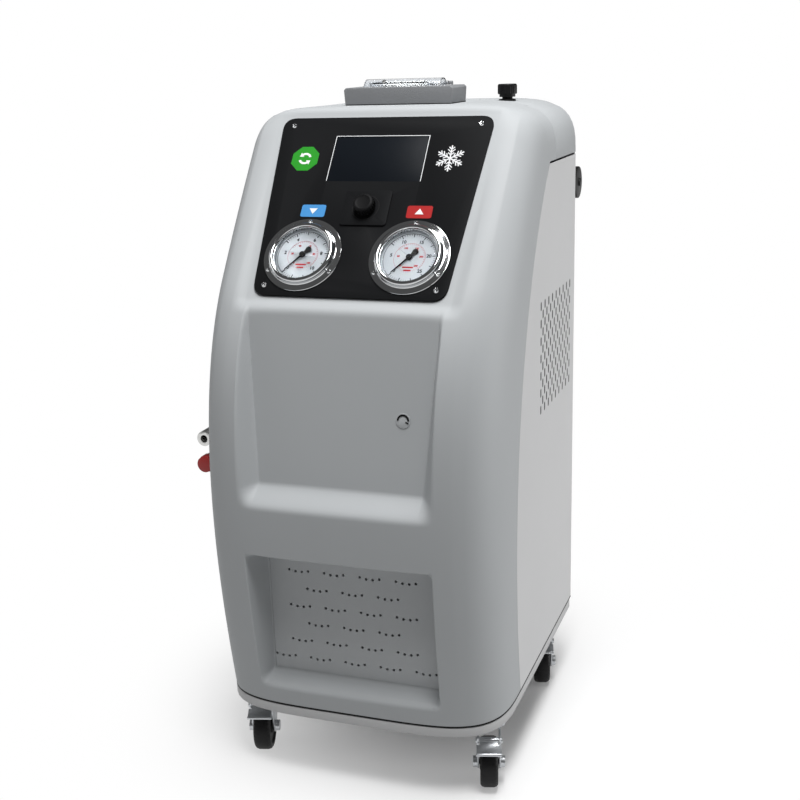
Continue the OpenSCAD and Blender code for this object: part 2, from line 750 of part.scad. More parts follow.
// Mains inlet and rocker switch, on two plates that close the notch of the rear panel
rocker_x = inlet_x + 40;
rocker_y = rear_y - 8;
plate_mid_x = inlet_x + 24;
module mains_inlet() {
  color("#1a1b1c") difference() {
    union() {
      box(inlet_x - 26, plate_mid_x, rear_y, rear_y + 2, rim_z, inlet_z + 24);
      box(inlet_x - 14, inlet_x + 14, rear_y - 26, rear_y, inlet_z - 10, inlet_z + 10);
    }
    box(inlet_x - 12, inlet_x + 12, rear_y - 18, rear_y + 3, inlet_z - 8, inlet_z + 8);
  }
}
module inlet_blades() {
  color("#c9a54a") for (x = [-7, 0, 7])
    box(inlet_x + x - 1, inlet_x + x + 1, rear_y - 18, rear_y - 3, inlet_z - 2, inlet_z + 2);
}
module switch_housing() {
  color("#1a1b1c") {
    difference() {
      union() {
        box(plate_mid_x, inlet_x + 62, rear_y, rear_y + 2, rim_z, inlet_z + 24);
        box(rocker_x - 11, rocker_x + 11, rear_y - 22, rear_y, inlet_z - 13, inlet_z + 13);
      }
      box(rocker_x - 8, rocker_x + 8, rear_y - 18, rear_y + 3, inlet_z - 11, inlet_z + 11);
    }
    translate([rocker_x, rocker_y, inlet_z]) rod_x(1.6, 18);
  }
}
module power_rocker() {
  color("#8c1512") translate([rocker_x, rocker_y, inlet_z]) difference() {
    rotate([8, 0, 0]) difference() {
      union() {
        box(-7.2, 7.2, 0, 9, -9, 9);
        rod_x(4, 14.4);
      }
      translate([0, 18.6, 0]) rod_x(11, 20);
    }
    rod_x(1.6 + pivot_fit, 20);
  }
}

// Inside: storage vessel on a weighing platform, pumps, heat exchanger, valves and control
tank_r = 100;
tank_y = rear_y - 142;
scale_z = floor_z + 30;
tank_h = 360;
module weigh_platform() {
  color("#9a9da0") {
    translate([0, tank_y, scale_z - 6]) cylinder(r = tank_r + 4, h = 6);
    box(-18, 18, tank_y - 60, tank_y + 60, floor_z, scale_z - 6);
  }
}
tank_t = 4;
function tank_line(d) =
  concat(
    [[0, 6 + d], [tank_r - 14 - d, 6 + d], [tank_r - 5 - d, 20 + d], [tank_r - d, 40], [tank_r - d, tank_h - 60]],
    [for (a = [15 : 15 : 75]) [(tank_r - d) * cos(a), tank_h - 60 + (60 - d) * sin(a)]],
    [[0, tank_h - d]]
  );
module storage_tank() {
  color("#c8cacb") translate([0, tank_y, scale_z]) difference() {
    union() {
      rotate_extrude($fn = 72) polygon(tank_line(0));
      difference() {
        cylinder(r = tank_r - 8, h = 24);
        translate([0, 0, -1]) cylinder(r = tank_r - 12, h = 26);
      }
      translate([0, 0, tank_h - 4]) cylinder(r = 16, h = 36);
      translate([0, 0, tank_h + 18]) rod_y(7, 70);
    }
    rotate_extrude($fn = 72) polygon(tank_line(tank_t));
    translate([0, 0, tank_h - 20]) cylinder(r = 5, h = 38);
    translate([0, 0, tank_h + 18]) rod_y(4, 72);
  }
}
pump_x = hw - 102;
pump_y = seam_low_y - 6;
module compressor() {
  color("#26282a") translate([-pump_x, pump_y, floor_z]) {
    cylinder(r = 58, h = 14);
    translate([0, 0, 14]) cylinder(r = 64, h = 120);
    translate([0, 0, 134]) intersection() {
      sphere(r = 64);
      cylinder(r = 70, h = 70);
    }
    translate([0, 50, 110]) rod_y(7, 50);
  }
}
module vacuum_pump() {
  color("#31577c") translate([pump_x, pump_y, floor_z]) {
    box(-50, 50, -60, 70, 0, 12);
    translate([0, 10, 70]) rod_y(48, 120);
    box(-40, 40, -60, -40, 12, 110);
    box(-20, 20, 20, 40, 12, 60);
    translate([0, -50, 100]) cylinder(r = 9, h = 50);
  }
}
coil_x = hw - 46;
coil_t = 26;
coil_y = vent_mid_y;
coil_half = 84;
fan_r = 70;
fan_hub_r = 18;
module condenser() {
  color("#b8bcc0") {
    difference() {
      box(coil_x - 24, coil_x + coil_t, coil_y - coil_half, coil_y + coil_half, rail_z - coil_half, rail_z + coil_half);
      translate([coil_x - 14, coil_y, rail_z]) rod_x(fan_r + 4, 40);
      box(coil_x + 9, coil_x + coil_t + 1, coil_y - coil_half - 1, coil_y + coil_half + 1, rail_z - 2, rail_z + 20);
    }
    translate([coil_x - 3, coil_y, rail_z]) rod_x(fan_hub_r - 4, 18);
    translate([coil_x - 16, coil_y, rail_z]) rod_x(4, 16);
  }
}
module fan_rotor() {
  color("#2b2d2f") translate([coil_x - 17, coil_y, rail_z]) difference() {
    union() {
      rod_x(fan_hub_r, 8);
      for (a = [0 : 72 : 288]) rotate([a, 0, 0]) translate([0, 0, fan_r / 2 + 4]) rotate([0, 0, 24])
        cube([2, 34, fan_r - 14], center = true);
    }
    rod_x(4 + pivot_fit, 20);
  }
}
drier_x = -post_x + 10;
module filter_drier() {
  color("#2f6b3c") translate([drier_x, tank_y - 30, 0]) {
    translate([32, 0, rail_z - 170]) cylinder(r = 32, h = 130);
    translate([32, 0, rail_z - 190]) cylinder(r = 10, h = 170);
    box(0, 14, -12, 12, rail_z - 120, rail_z - 100);
    box(0, 8, -12, 12, rail_z - 120, rail_z + 8);
  }
}
block_z = rail_z + 20;
module valve_block() {
  color("#b58a3c") {
    box(-120, 120, post_front_y - 24, post_front_y + 22, block_z, block_z + 40);
    for (k = [-2 : 2]) translate([k * 46, post_front_y, block_z + 40]) cylinder(r = 13, h = 36);
  }
}
board_h = -30;
module control_board() {
  color("#1f5a34") on_face(0, screen_up, 0) difference() {
    union() {
      translate([-70, -56, board_h]) cube([140, 92, 2]);
      for (x = [-64, 64]) for (s = [-2, 30]) translate([x, s, board_h + 2]) cylinder(r = 3, h = -12 - board_h - 2);
      translate([-9, knob_s - screen_up - 9, board_h + 2]) cube([18, 18, -14 - board_h - 3]);
    }
    translate([0, knob_s - screen_up, board_h + 6]) cylinder(r = 3.5 + pivot_fit, h = 30);
  }
}
// Copper lines from the ports to the valve block
line_r = 5;
line_x = sheet - hw + 18;
module pipe_lines() {
  color("#b06a3b") for (k = [0, 1]) let (z = port_z[k], x = line_x + 16 * k, y = post_front_y - 6 - 12 * k) {
    translate([(sheet - hw + 8 + x) / 2, port_y, z]) rod_x(line_r, x - sheet + hw - 8);
    translate([x, port_y, z]) sphere(r = line_r);
    translate([x, port_y, z]) cylinder(r = line_r, h = block_z + 14 + 12 * k - z);
    translate([x, port_y, block_z + 14 + 12 * k]) sphere(r = line_r);
    translate([(x - 120) / 2, port_y, block_z + 14 + 12 * k]) rod_x(line_r, -120 - x);
  }
}

// Braked swivel caster: mounting plate with bored race, fork with kingpin and axle, wheel, pedal
caster_x = hw - 36;
casters = [
  [-caster_x, front_y + 92],
  [caster_x, front_y + 92],
  [-caster_x, rear_y - 62],
  [caster_x, rear_y - 62]
];
race_h = 8;
king_r = 6;
trail = 27;
axle_z = wheel_d / 2;
axle_r = 4;
leg_in = wheel_w / 2 + 1.5;
leg_t = 2.5;
crown_z = base_z - 3 - race_h - run_gap;
pedal_y = -trail - 19;
pedal_z = crown_z - 8;
module caster_plates() {
  color("#b9bdc0") for (c = casters) translate([c[0], c[1], base_z]) difference() {
    union() {
      translate([-30, -30, -3]) cube([60, 60, 3]);
      translate([0, 0, -3 - race_h]) cylinder(r = 21, h = race_h);
      for (x = [-23, 23]) for (y = [-23, 23]) translate([x, y, -6]) cylinder(r = 4.5, h = 4);
    }
    translate([0, 0, -20]) cylinder(r = king_r + pivot_fit, h = 21);
  }
}
module caster_fork(c) {
  color("#a9aeb2") translate([c[0], c[1], 0]) rotate([0, 0, caster_swivel]) {
    translate([0, 0, crown_z - 4]) cylinder(r = 20, h = 4);
    translate([0, 0, crown_z - 4]) cylinder(r = king_r, h = base_z - crown_z + 2);
    box(-leg_in - leg_t, leg_in + leg_t, -22, 10, crown_z - 4, crown_z - 1);
    both() translate([leg_in, 0, 0]) rotate([90, 0, 90]) linear_extrude(leg_t) union() {
      polygon([
        [10, crown_z - 1], [-trail + 9, axle_z - 4], [-trail - 9, axle_z - 4],
        [pedal_y - 5, pedal_z - 3], [pedal_y - 4, pedal_z + 5], [-22, crown_z - 1]
      ]);
      translate([-trail, axle_z]) circle(r = 9.5);
    }
    translate([0, -trail, axle_z]) rod_x(axle_r, 2 * leg_in + 2 * leg_t + 10);
    both() translate([leg_in + leg_t + 3, -trail, axle_z]) rod_x(8, 6);
    translate([0, pedal_y, pedal_z]) rod_x(2.5, 2 * leg_in + 2 * leg_t + 4);
    both() translate([leg_in + leg_t + 1, pedal_y, pedal_z]) rod_x(4.2, 2);
  }
}
module caster_wheel(c) {
  r = wheel_d / 2;
  w = wheel_w / 2;
  color("#1c1d1e") translate([c[0], c[1], axle_z]) rotate([0, 0, caster_swivel]) translate([0, -trail, 0]) rotate([0, 90, 0])
    rotate_extrude($fn = 72) polygon([
    [axle_r + pivot_fit, -w - 0.8], [11, -w - 0.8], [12, -w + 3], [r - 10, -w + 3], [r - 8, -w], [r - 4, -w],
    [r - 1.2, -w + 2.2], [r, -w + 6], [r, w - 6], [r - 1.2, w - 2.2], [r - 4, w], [r - 8, w], [r - 10, w - 3],
    [12, w - 3], [11, w + 0.8], [axle_r + pivot_fit, w + 0.8]
  ]);
}
pedal_half = leg_in - 0.8;
pedal_flare = 4;
pedal_slope = 30;
pedal_len = 23;
module caster_pedal(c) {
  wide = pedal_half + pedal_flare;
  color("#9aa0a4") translate([c[0], c[1], pedal_z]) rotate([0, 0, caster_swivel]) translate([0, pedal_y, 0]) {
    difference() {
      rod_x(4.5, 2 * pedal_half);
      rod_x(2.5 + pivot_fit, 2 * pedal_half + 2);
    }
    rotate([pedal_slope, 0, 0]) {
      translate([0, 0, 0.5]) linear_extrude(2.5) polygon([
        [-pedal_half + 0.5, -3.4], [-pedal_half + 0.5, -9], [-wide, -9], [-wide, -pedal_len],
        [wide, -pedal_len], [wide, -9], [pedal_half - 0.5, -9], [pedal_half - 0.5, -3.4]
      ]);
      translate([0, -pedal_len, 1]) rod_x(2.4, 2 * wide + 1);
    }
  }
}
module fork_fl() {
  caster_fork(casters[0]);
}
module fork_fr() {
  caster_fork(casters[1]);
}
module fork_rl() {
  caster_fork(casters[2]);
}
module fork_rr() {
  caster_fork(casters[3]);
}
module wheel_fl() {
  caster_wheel(casters[0]);
}
module wheel_fr() {
  caster_wheel(casters[1]);
}
module wheel_rl() {
  caster_wheel(casters[2]);
}
module wheel_rr() {
  caster_wheel(casters[3]);
}
module pedal_fl() {
  caster_pedal(casters[0]);
}
module pedal_fr() {
  caster_pedal(casters[1]);
}
module pedal_rl() {
  caster_pedal(casters[2]);
}
module pedal_rr() {
  caster_pedal(casters[3]);
}

placed() base_tray();
placed() chassis();
placed() front_cover();
placed() front_grille();
placed() top_hood();
placed() side_left();
placed() side_right();
placed() rear_panel();
placed() fascia();
placed() fascia_screws();
placed() display();
placed() low_gauge();
placed() high_gauge();
placed() low_dial();
placed() high_dial();
placed() low_glass();
placed() high_glass();
placed() low_needle();
placed() high_needle();
placed() knob_plate();
placed() knob_spindle();
placed() knob();
placed() cover_lock();
placed() printer_body();
placed() printer_cover();
placed() paper_roll();
placed() filler_neck();
placed() filler_cap();
placed() low_port();
placed() high_port();
placed() port_cap();
placed() push_bar();
placed() bar_arms();
placed() mains_inlet();
placed() inlet_blades();
placed() switch_housing();
placed() power_rocker();
placed() weigh_platform();
placed() storage_tank();
placed() compressor();
placed() vacuum_pump();
placed() condenser();
placed() fan_rotor();
placed() filter_drier();
placed() valve_block();
placed() control_board();
placed() pipe_lines();
placed() caster_plates();
placed() fork_fl();
placed() fork_fr();
placed() fork_rl();
placed() fork_rr();
placed() wheel_fl();
placed() wheel_fr();
placed() wheel_rl();
placed() wheel_rr();
placed() pedal_fl();
placed() pedal_fr();
placed() pedal_rl();
placed() pedal_rr();
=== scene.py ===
# %% [markdown]
# # Refrigerant recovery machine
# A service cabinet on four casters: a moulded grey front, sheet metal flanks, a black leaning
# fascia with two gauges, a small printer on the lid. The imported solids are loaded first, as a
# frame that stays where it is. Everything below either gives a solid its finish or models a
# finer piece in the same place.

# %% Load the frame
import json
from math import atan, cos, pi, radians, sin

import bpy
from mathutils import Matrix, Vector


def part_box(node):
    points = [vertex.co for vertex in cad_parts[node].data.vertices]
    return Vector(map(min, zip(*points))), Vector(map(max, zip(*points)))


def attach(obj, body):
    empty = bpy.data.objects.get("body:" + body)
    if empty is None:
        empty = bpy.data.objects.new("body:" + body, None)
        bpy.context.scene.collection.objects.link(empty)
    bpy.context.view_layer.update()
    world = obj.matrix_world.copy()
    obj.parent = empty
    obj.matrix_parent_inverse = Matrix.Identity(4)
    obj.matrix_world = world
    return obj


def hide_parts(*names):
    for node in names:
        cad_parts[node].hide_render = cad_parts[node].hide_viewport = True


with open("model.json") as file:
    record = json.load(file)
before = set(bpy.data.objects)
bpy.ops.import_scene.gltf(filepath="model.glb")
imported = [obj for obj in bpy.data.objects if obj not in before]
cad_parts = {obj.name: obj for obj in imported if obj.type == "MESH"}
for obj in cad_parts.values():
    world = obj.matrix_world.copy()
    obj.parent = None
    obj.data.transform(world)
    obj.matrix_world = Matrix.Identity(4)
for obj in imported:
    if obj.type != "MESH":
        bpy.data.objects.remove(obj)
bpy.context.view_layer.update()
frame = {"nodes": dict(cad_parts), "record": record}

# %% [markdown]
# The frame gives the places. The tray is centred under the cabinet, so the middle of its box is
# the cabinet's own zero. All sizes below are written in millimetres from there, and `at` turns
# them into the metres of the scene.

# %% Places from the frame
MM = 0.001
tray_low, tray_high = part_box("base_tray")
ORIGIN = Vector(((tray_low.x + tray_high.x) / 2, (tray_low.y + tray_high.y) / 2, 0))
HALF_W = (tray_high.x - tray_low.x) / 2 / MM
REAR_Y = (tray_high.y - tray_low.y) / 2 / MM
FRONT_Y = -REAR_Y
RIM_Z = tray_high.z / MM
LID_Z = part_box("rear_panel")[1].z / MM
TOP_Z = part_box("top_hood")[1].z / MM


def at(x, y, z):
    """A place on the cabinet, from millimetres to the scene's metres."""
    return ORIGIN + Vector((x, y, z)) * MM


print("half width", round(HALF_W), "rear", round(REAR_Y), "rim", round(RIM_Z), "top", round(TOP_Z))

# %% [markdown]
# The camera comes first, because every later look is compared through it. It stands to the right
# of the machine, a little above the middle, and looks down by about seventeen degrees. The lens
# is given as a focal length on a 36 mm sensor, and the small shift puts the horizon where the
# photograph has it.

# %% Camera
CAMERA_PLACE = at(605.2, -1667.3, 991.2)
CAMERA_FORWARD = Vector((-0.33165, 0.89766, -0.29022))
CAMERA_ROLL = radians(-1.826)
FOCAL_LENGTH = 56.22
camera_data = bpy.data.cameras.new("camera")
camera_data.lens = FOCAL_LENGTH
camera_data.sensor_width = 36
camera_data.shift_x = 0.0091
camera_data.shift_y = 0.0431
camera = bpy.data.objects.new("camera", camera_data)
bpy.context.scene.collection.objects.link(camera)
look = CAMERA_FORWARD.to_track_quat("-Z", "Y").to_matrix().to_4x4()
camera.matrix_world = Matrix.Translation(CAMERA_PLACE) @ look @ Matrix.Rotation(CAMERA_ROLL, 4, "Z")
bpy.context.scene.camera = camera
print("camera at", [round(c, 3) for c in CAMERA_PLACE])

# %% [markdown]
# Modelling by operators needs a few habits: nothing else may be selected when a primitive is
# added, and edit mode acts on the selection. These helpers keep those habits in one place.

# %% Helpers for modelling
MERGE = 0.002 * MM
BEVEL_ANGLE = radians(35)
FLAT_ANGLE = radians(0.5)


def fresh():
    """Object mode with nothing selected."""
    if bpy.context.mode != "OBJECT":
        bpy.ops.object.mode_set(mode="OBJECT")
    bpy.ops.object.select_all(action="DESELECT")


def current(piece):
    """Only this piece selected and active."""
    fresh()
    piece.select_set(True)
    bpy.context.view_layer.objects.active = piece
    return piece


def edit(piece, kind="FACE"):
    """Edit mode on this piece, all selected."""
    current(piece)
    bpy.ops.object.mode_set(mode="EDIT")
    bpy.ops.mesh.select_mode(type=kind)
    bpy.ops.mesh.select_all(action="SELECT")


def modify(piece, kind, **values):
    """Add a modifier, set it and apply it."""
    current(piece)
    step = piece.modifiers.new(kind, kind)
    for key, value in values.items():
        setattr(step, key, value)
    bpy.ops.object.modifier_apply(modifier=step.name)


def soften(piece, width, segments=2):
    """Round every sharp edge, by a width in millimetres."""
    modify(
        piece, "BEVEL", width=width * MM, segments=segments, limit_method="ANGLE",
        angle_limit=BEVEL_ANGLE, use_clamp_overlap=True,
    )


def outward(piece):
    """Merge doubled points and turn all faces outwards."""
    edit(piece)
    bpy.ops.mesh.remove_doubles(threshold=MERGE)
    bpy.ops.mesh.normals_make_consistent(inside=False)
    fresh()


def joined(pieces):
    """Several pieces as one mesh."""
    current(pieces[0])
    for piece in pieces[1:]:
        piece.select_set(True)
    bpy.ops.object.join()
    return bpy.context.object


print("helpers ready")

# %% [markdown]
# Three ways of starting a piece cover most of this machine. A plate is an outline raised to a
# thickness, a turned piece is a profile spun round an axis, and a block is a cube with its edges
# rounded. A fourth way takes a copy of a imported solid, merges its loose triangles and rounds its
# edges, for the pieces whose form is already right.

# %% Ways of starting a piece
def plate(outline, thick, low=0.0):
    """Raise a flat outline of (x, y) points to a plate."""
    fresh()
    bpy.ops.mesh.primitive_circle_add(vertices=len(outline), fill_type="NGON")
    piece = bpy.context.object
    for point, (x, y) in zip(piece.data.vertices, outline):
        point.co = Vector((x, y, low)) * MM
    edit(piece)
    bpy.ops.mesh.extrude_region_move(TRANSFORM_OT_translate={"value": (0, 0, thick * MM)})
    outward(piece)
    return piece


def turned(profile, steps=64):
    """Spin a profile of (radius, height) points round Z."""
    fresh()
    bpy.ops.mesh.primitive_plane_add(size=MM)
    piece = bpy.context.object
    edit(piece, "VERT")
    bpy.ops.mesh.merge(type="CENTER")
    radius, height = profile[0]
    bpy.ops.transform.translate(value=(radius * MM, 0, height * MM))
    for wide, high in profile[1:]:
        move = ((wide - radius) * MM, 0, (high - height) * MM)
        bpy.ops.mesh.extrude_vertices_move(TRANSFORM_OT_translate={"value": move})
        radius, height = wide, high
    bpy.ops.mesh.select_all(action="SELECT")
    bpy.ops.mesh.spin(steps=steps, angle=2 * pi, center=(0, 0, 0), axis=(0, 0, 1))
    outward(piece)
    return piece


def block(low, high, edge):
    """A cube between two corners in millimetres, with rounded edges."""
    fresh()
    bpy.ops.mesh.primitive_cube_add(size=1)
    piece = bpy.context.object
    edit(piece)
    size = [(b - a) * MM for a, b in zip(low, high)]
    bpy.ops.transform.resize(value=size)
    bpy.ops.transform.translate(value=[(a + b) / 2 * MM for a, b in zip(low, high)])
    fresh()
    if edge:
        soften(piece, edge)
    return piece


def from_solid(node, edge, segments=2):
    """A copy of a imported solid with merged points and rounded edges."""
    piece = bpy.data.objects.new(node + "_copy", frame["nodes"][node].data.copy())
    bpy.context.scene.collection.objects.link(piece)
    edit(piece)
    bpy.ops.mesh.remove_doubles(threshold=MERGE)
    bpy.ops.mesh.dissolve_limited(angle_limit=FLAT_ANGLE)
    fresh()
    if edge:
        soften(piece, edge, segments)
    return piece


def repeated(piece, count, turn=2 * pi):
    """Copies of a piece set round Z; the count includes the first."""
    edit(piece)
    full = abs(abs(turn) - 2 * pi) < 1e-6
    sweep = turn * (count - 1) / count if full else turn
    bpy.ops.mesh.spin(steps=count - 1, angle=sweep, center=(0, 0, 0), axis=(0, 0, 1), dupli=True)
    fresh()
    return piece


def rounded_box(wide, high, corner, steps=5):
    """Outline of a rectangle with round corners, about its centre."""
    points = []
    for k, (sx, sy) in enumerate(((1, 1), (-1, 1), (-1, -1), (1, -1))):
        for i in range(steps + 1):
            a = pi / 2 * (k + i / steps)
            x = sx * (wide / 2 - corner) + corner * cos(a)
            points.append((x, sy * (high / 2 - corner) + corner * sin(a)))
    return points


print("four ways of starting a piece")

# %% [markdown]
# Each finished piece keeps its place in its mesh, rides on the body that carries it, takes one of
# the finishes, and hides the solid that it stands for.

# %% Finishing a piece
FINISHES = {}


def done(piece, name, slot, body="body", stands_for=(), place=None, smooth=32):
    """Place, name, shade and paint a piece, then let it ride."""
    current(piece)
    if place is not None:
        piece.matrix_world = place
    bpy.ops.object.transform_apply(location=True, rotation=True, scale=True)
    bpy.ops.object.shade_smooth_by_angle(angle=radians(smooth))
    piece.name = piece.data.name = name
    piece.data.materials.clear()
    piece.data.materials.append(FINISHES[slot])
    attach(piece, body)
    if stands_for:
        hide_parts(*stands_for)
    return piece


def dressed(node, edge, name, slot, body="body", segments=2):
    """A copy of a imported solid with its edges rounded, standing for that solid."""
    return done(from_solid(node, edge, segments), name, slot, body, [node])


def put(x, y, z):
    """The place of a piece that is only moved, in millimetres."""
    return Matrix.Translation(at(x, y, z))


print("finisher ready")

# %% [markdown]
# No surface here is one flat colour. Moulded plastic has a fine grain and a slow drift of tone,
# powder coat has the small dimples of its cure, plated steel has streaks from rolling. One
# builder lays these down: a broad noise drifts the colour, a fine noise moves the roughness and
# the height, both on object coordinates so that the pattern stays with the piece.

# %% Builder for finishes
def noise_node(tree, vector, size):
    """Noise whose features are about this many millimetres across."""
    node = tree.nodes.new("ShaderNodeTexNoise")
    node.inputs["Scale"].default_value = 1 / (size * MM)
    node.inputs["Detail"].default_value = 3
    tree.links.new(vector, node.inputs["Vector"])
    return node.outputs["Fac"]


def finish(slot, colour, rough, metal=0.0, drift=80, drift_depth=0.05, grain=0.7, dimple=0.02,
           streak=(1, 1, 1), rough_play=0.06, specular=0.5, clear=0):
    """A finish with drifting tone and a grain; sizes in millimetres, clear is a refractive index."""
    paint = bpy.data.materials.new(slot)
    paint.use_nodes = True
    tree = paint.node_tree
    shader = tree.nodes["Principled BSDF"]
    shader.inputs["Metallic"].default_value = metal
    shader.inputs["Specular IOR Level"].default_value = specular
    if clear:
        shader.inputs["Transmission Weight"].default_value = 1
        shader.inputs["IOR"].default_value = clear
    where = tree.nodes.new("ShaderNodeTexCoord").outputs["Object"]
    turn = tree.nodes.new("ShaderNodeMapping")
    turn.inputs["Scale"].default_value = streak
    tree.links.new(where, turn.inputs["Vector"])
    broad = noise_node(tree, where, drift)
    fine = noise_node(tree, turn.outputs["Vector"], grain)
    tone = tree.nodes.new("ShaderNodeMix")
    tone.data_type = "RGBA"
    for socket, share in ((6, 1 - drift_depth), (7, 1 + drift_depth)):
        tone.inputs[socket].default_value = (*[min(1, c * share) for c in colour], 1)
    tree.links.new(broad, tone.inputs[0])
    tree.links.new(tone.outputs[2], shader.inputs["Base Color"])
    gloss = tree.nodes.new("ShaderNodeMapRange")
    gloss.inputs["From Min"].default_value = 0.3
    gloss.inputs["From Max"].default_value = 0.7
    gloss.inputs["To Min"].default_value = max(0.02, rough - rough_play)
    gloss.inputs["To Max"].default_value = rough + rough_play
    tree.links.new(fine, gloss.inputs["Value"])
    tree.links.new(gloss.outputs["Result"], shader.inputs["Roughness"])
    relief = tree.nodes.new("ShaderNodeBump")
    relief.inputs["Strength"].default_value = 0.6
    relief.inputs["Distance"].default_value = dimple * MM
    tree.links.new(fine, relief.inputs["Height"])
    tree.links.new(relief.outputs["Normal"], shader.inputs["Normal"])
    FINISHES[slot] = paint
    return paint


print("finish builder ready")

# %% [markdown]
# The casing is one cool grey in two makes: the moulded front and hood are satin plastic, the
# flanks and the tray are powder coated steel. The flanks are painted lighter than the front, as
# painted light for the lamp on that side. The fascia is a black printed film, a little silky, and
# the rest is plated steel, black plastic and rubber.

# %% Finishes of the casing
finish(
    "cover_grey", (0.385, 0.4, 0.41), 0.56, drift=160, drift_depth=0.025, grain=0.9, dimple=0.012,
    specular=0.25,
)
# The insert's grey is painted a little lighter than the cover's: painted light, to make up for the shade
# in its hollow.
finish("grille_grey", (0.41, 0.425, 0.435), 0.55, drift=90, drift_depth=0.03, grain=0.8, dimple=0.02)
# The flank grey is painted light: much lighter than the cover grey, for the light that falls on the
# flank.
finish(
    "sheet_grey", (0.575, 0.577, 0.582), 0.6, drift=140, drift_depth=0.02, grain=1.6, dimple=0.03,
    specular=0.2,
)
finish("tray_grey", (0.44, 0.442, 0.446), 0.5, drift=120, drift_depth=0.03, grain=1.4, dimple=0.025)
finish("frame_dark", (0.035, 0.037, 0.04), 0.5, grain=1.2, dimple=0.03)
finish(
    "fascia_black", (0.008, 0.0083, 0.009), 0.55, drift=50, drift_depth=0.08, grain=0.4,
    dimple=0.006, specular=0.035,
)
finish(
    "screen", (0.0055, 0.007, 0.0095), 0.35, drift=40, drift_depth=0.1, grain=3, dimple=0.0,
    rough_play=0.02, specular=0.05,
)
finish("printer_grey", (0.2, 0.206, 0.215), 0.48, drift=50, drift_depth=0.04, grain=0.7, dimple=0.02)
print("casing finishes:", len(FINISHES))

# %% Finishes of the metal pieces
finish("bright_steel", (0.55, 0.56, 0.57), 0.08, metal=1, grain=0.5, dimple=0.003, rough_play=0.03)
finish("nickel", (0.62, 0.62, 0.61), 0.24, metal=1, grain=0.5, dimple=0.006, streak=(1, 6, 1))
finish("zinc", (0.56, 0.58, 0.60), 0.33, metal=1, drift=14, drift_depth=0.09, grain=0.8, dimple=0.012)
finish("needle_black", (0.005, 0.005, 0.005), 0.5, grain=0.5, dimple=0.005, specular=0.15)
# The fins' aluminium is painted dark: painted shade, for the shade inside the casing seen through the
# slots.
finish("fin_alu", (0.2, 0.21, 0.22), 0.35, metal=1, grain=1.2, dimple=0.05, streak=(1, 1, 0.1))
finish("valve_brass", (0.5, 0.34, 0.12), 0.32, metal=1, grain=0.7, dimple=0.01)
finish("copper", (0.52, 0.22, 0.1), 0.3, metal=1, drift=25, drift_depth=0.12, grain=0.8, dimple=0.01)
finish("tank_paint", (0.55, 0.56, 0.57), 0.3, grain=1.2, dimple=0.02)
finish("pump_blue", (0.03, 0.09, 0.2), 0.35, grain=1.0, dimple=0.03)
finish("pump_black", (0.012, 0.012, 0.013), 0.35, grain=1.0, dimple=0.03)
finish("drier_green", (0.03, 0.15, 0.05), 0.35, grain=1.0, dimple=0.02)
print("metal finishes:", len(FINISHES))

# %% Finishes of plastic, paper and rubber
FILM = {"grain": 0.3, "dimple": 0.004}
finish("dial_white", (0.37, 0.395, 0.415), 0.5, drift=30, drift_depth=0.02, **FILM)
finish("print_black", (0.006, 0.006, 0.0065), 0.6, specular=0.1, **FILM)
finish("print_white", (0.7, 0.71, 0.72), 0.45, drift=20, drift_depth=0.02, **FILM)
finish("print_red", (0.32, 0.006, 0.006), 0.5, drift=20, drift_depth=0.05, specular=0.2, **FILM)
finish("print_blue", (0.04, 0.22, 0.5), 0.42, drift=20, drift_depth=0.05, **FILM)
finish("print_green", (0.016, 0.24, 0.014), 0.5, drift=20, drift_depth=0.06, specular=0.2, **FILM)
finish("knob_black", (0.006, 0.006, 0.0065), 0.55, grain=0.5, dimple=0.01, specular=0.07)
finish(
    "black_plastic", (0.007, 0.007, 0.0075), 0.45, drift=30, drift_depth=0.15, grain=0.6,
    dimple=0.02, specular=0.15,
)
finish("red_plastic", (0.36, 0.014, 0.012), 0.4, drift=20, drift_depth=0.08, grain=0.6, dimple=0.01)
finish("paper", (0.8, 0.8, 0.78), 0.8, drift=6, drift_depth=0.03, grain=0.2, dimple=0.01)
finish(
    "wheel_black", (0.009, 0.009, 0.0095), 0.55, drift=12, drift_depth=0.2, grain=0.5, dimple=0.03,
    specular=0.25,
)
finish("board_green", (0.012, 0.1, 0.035), 0.4, grain=1.5, dimple=0.03)
finish(
    "lens", (0.97, 0.98, 0.99), 0.04, drift_depth=0.01, grain=5, dimple=0.0, rough_play=0.01,
    clear=1.06,
)
finish("clear_plastic", (0.9, 0.92, 0.94), 0.1, drift_depth=0.02, grain=4, dimple=0.003, clear=1.3)
print("all finishes:", len(FINISHES))

# %% [markdown]
# ## The moulded front
# The front is one big plastic moulding. A centre line swells forward from the tray and leans back
# into the instrument face, the side seam follows a flatter curve, and every cross-section joins
# the two with a squared-off round. Two soft hollows and a flat bed for the fascia are pressed
# into it. Sculpting would never give clean highlights here, so a plain grid is added and each of
# its points is put on that rule; then the sheet gets its wall, and the windows are cut out.

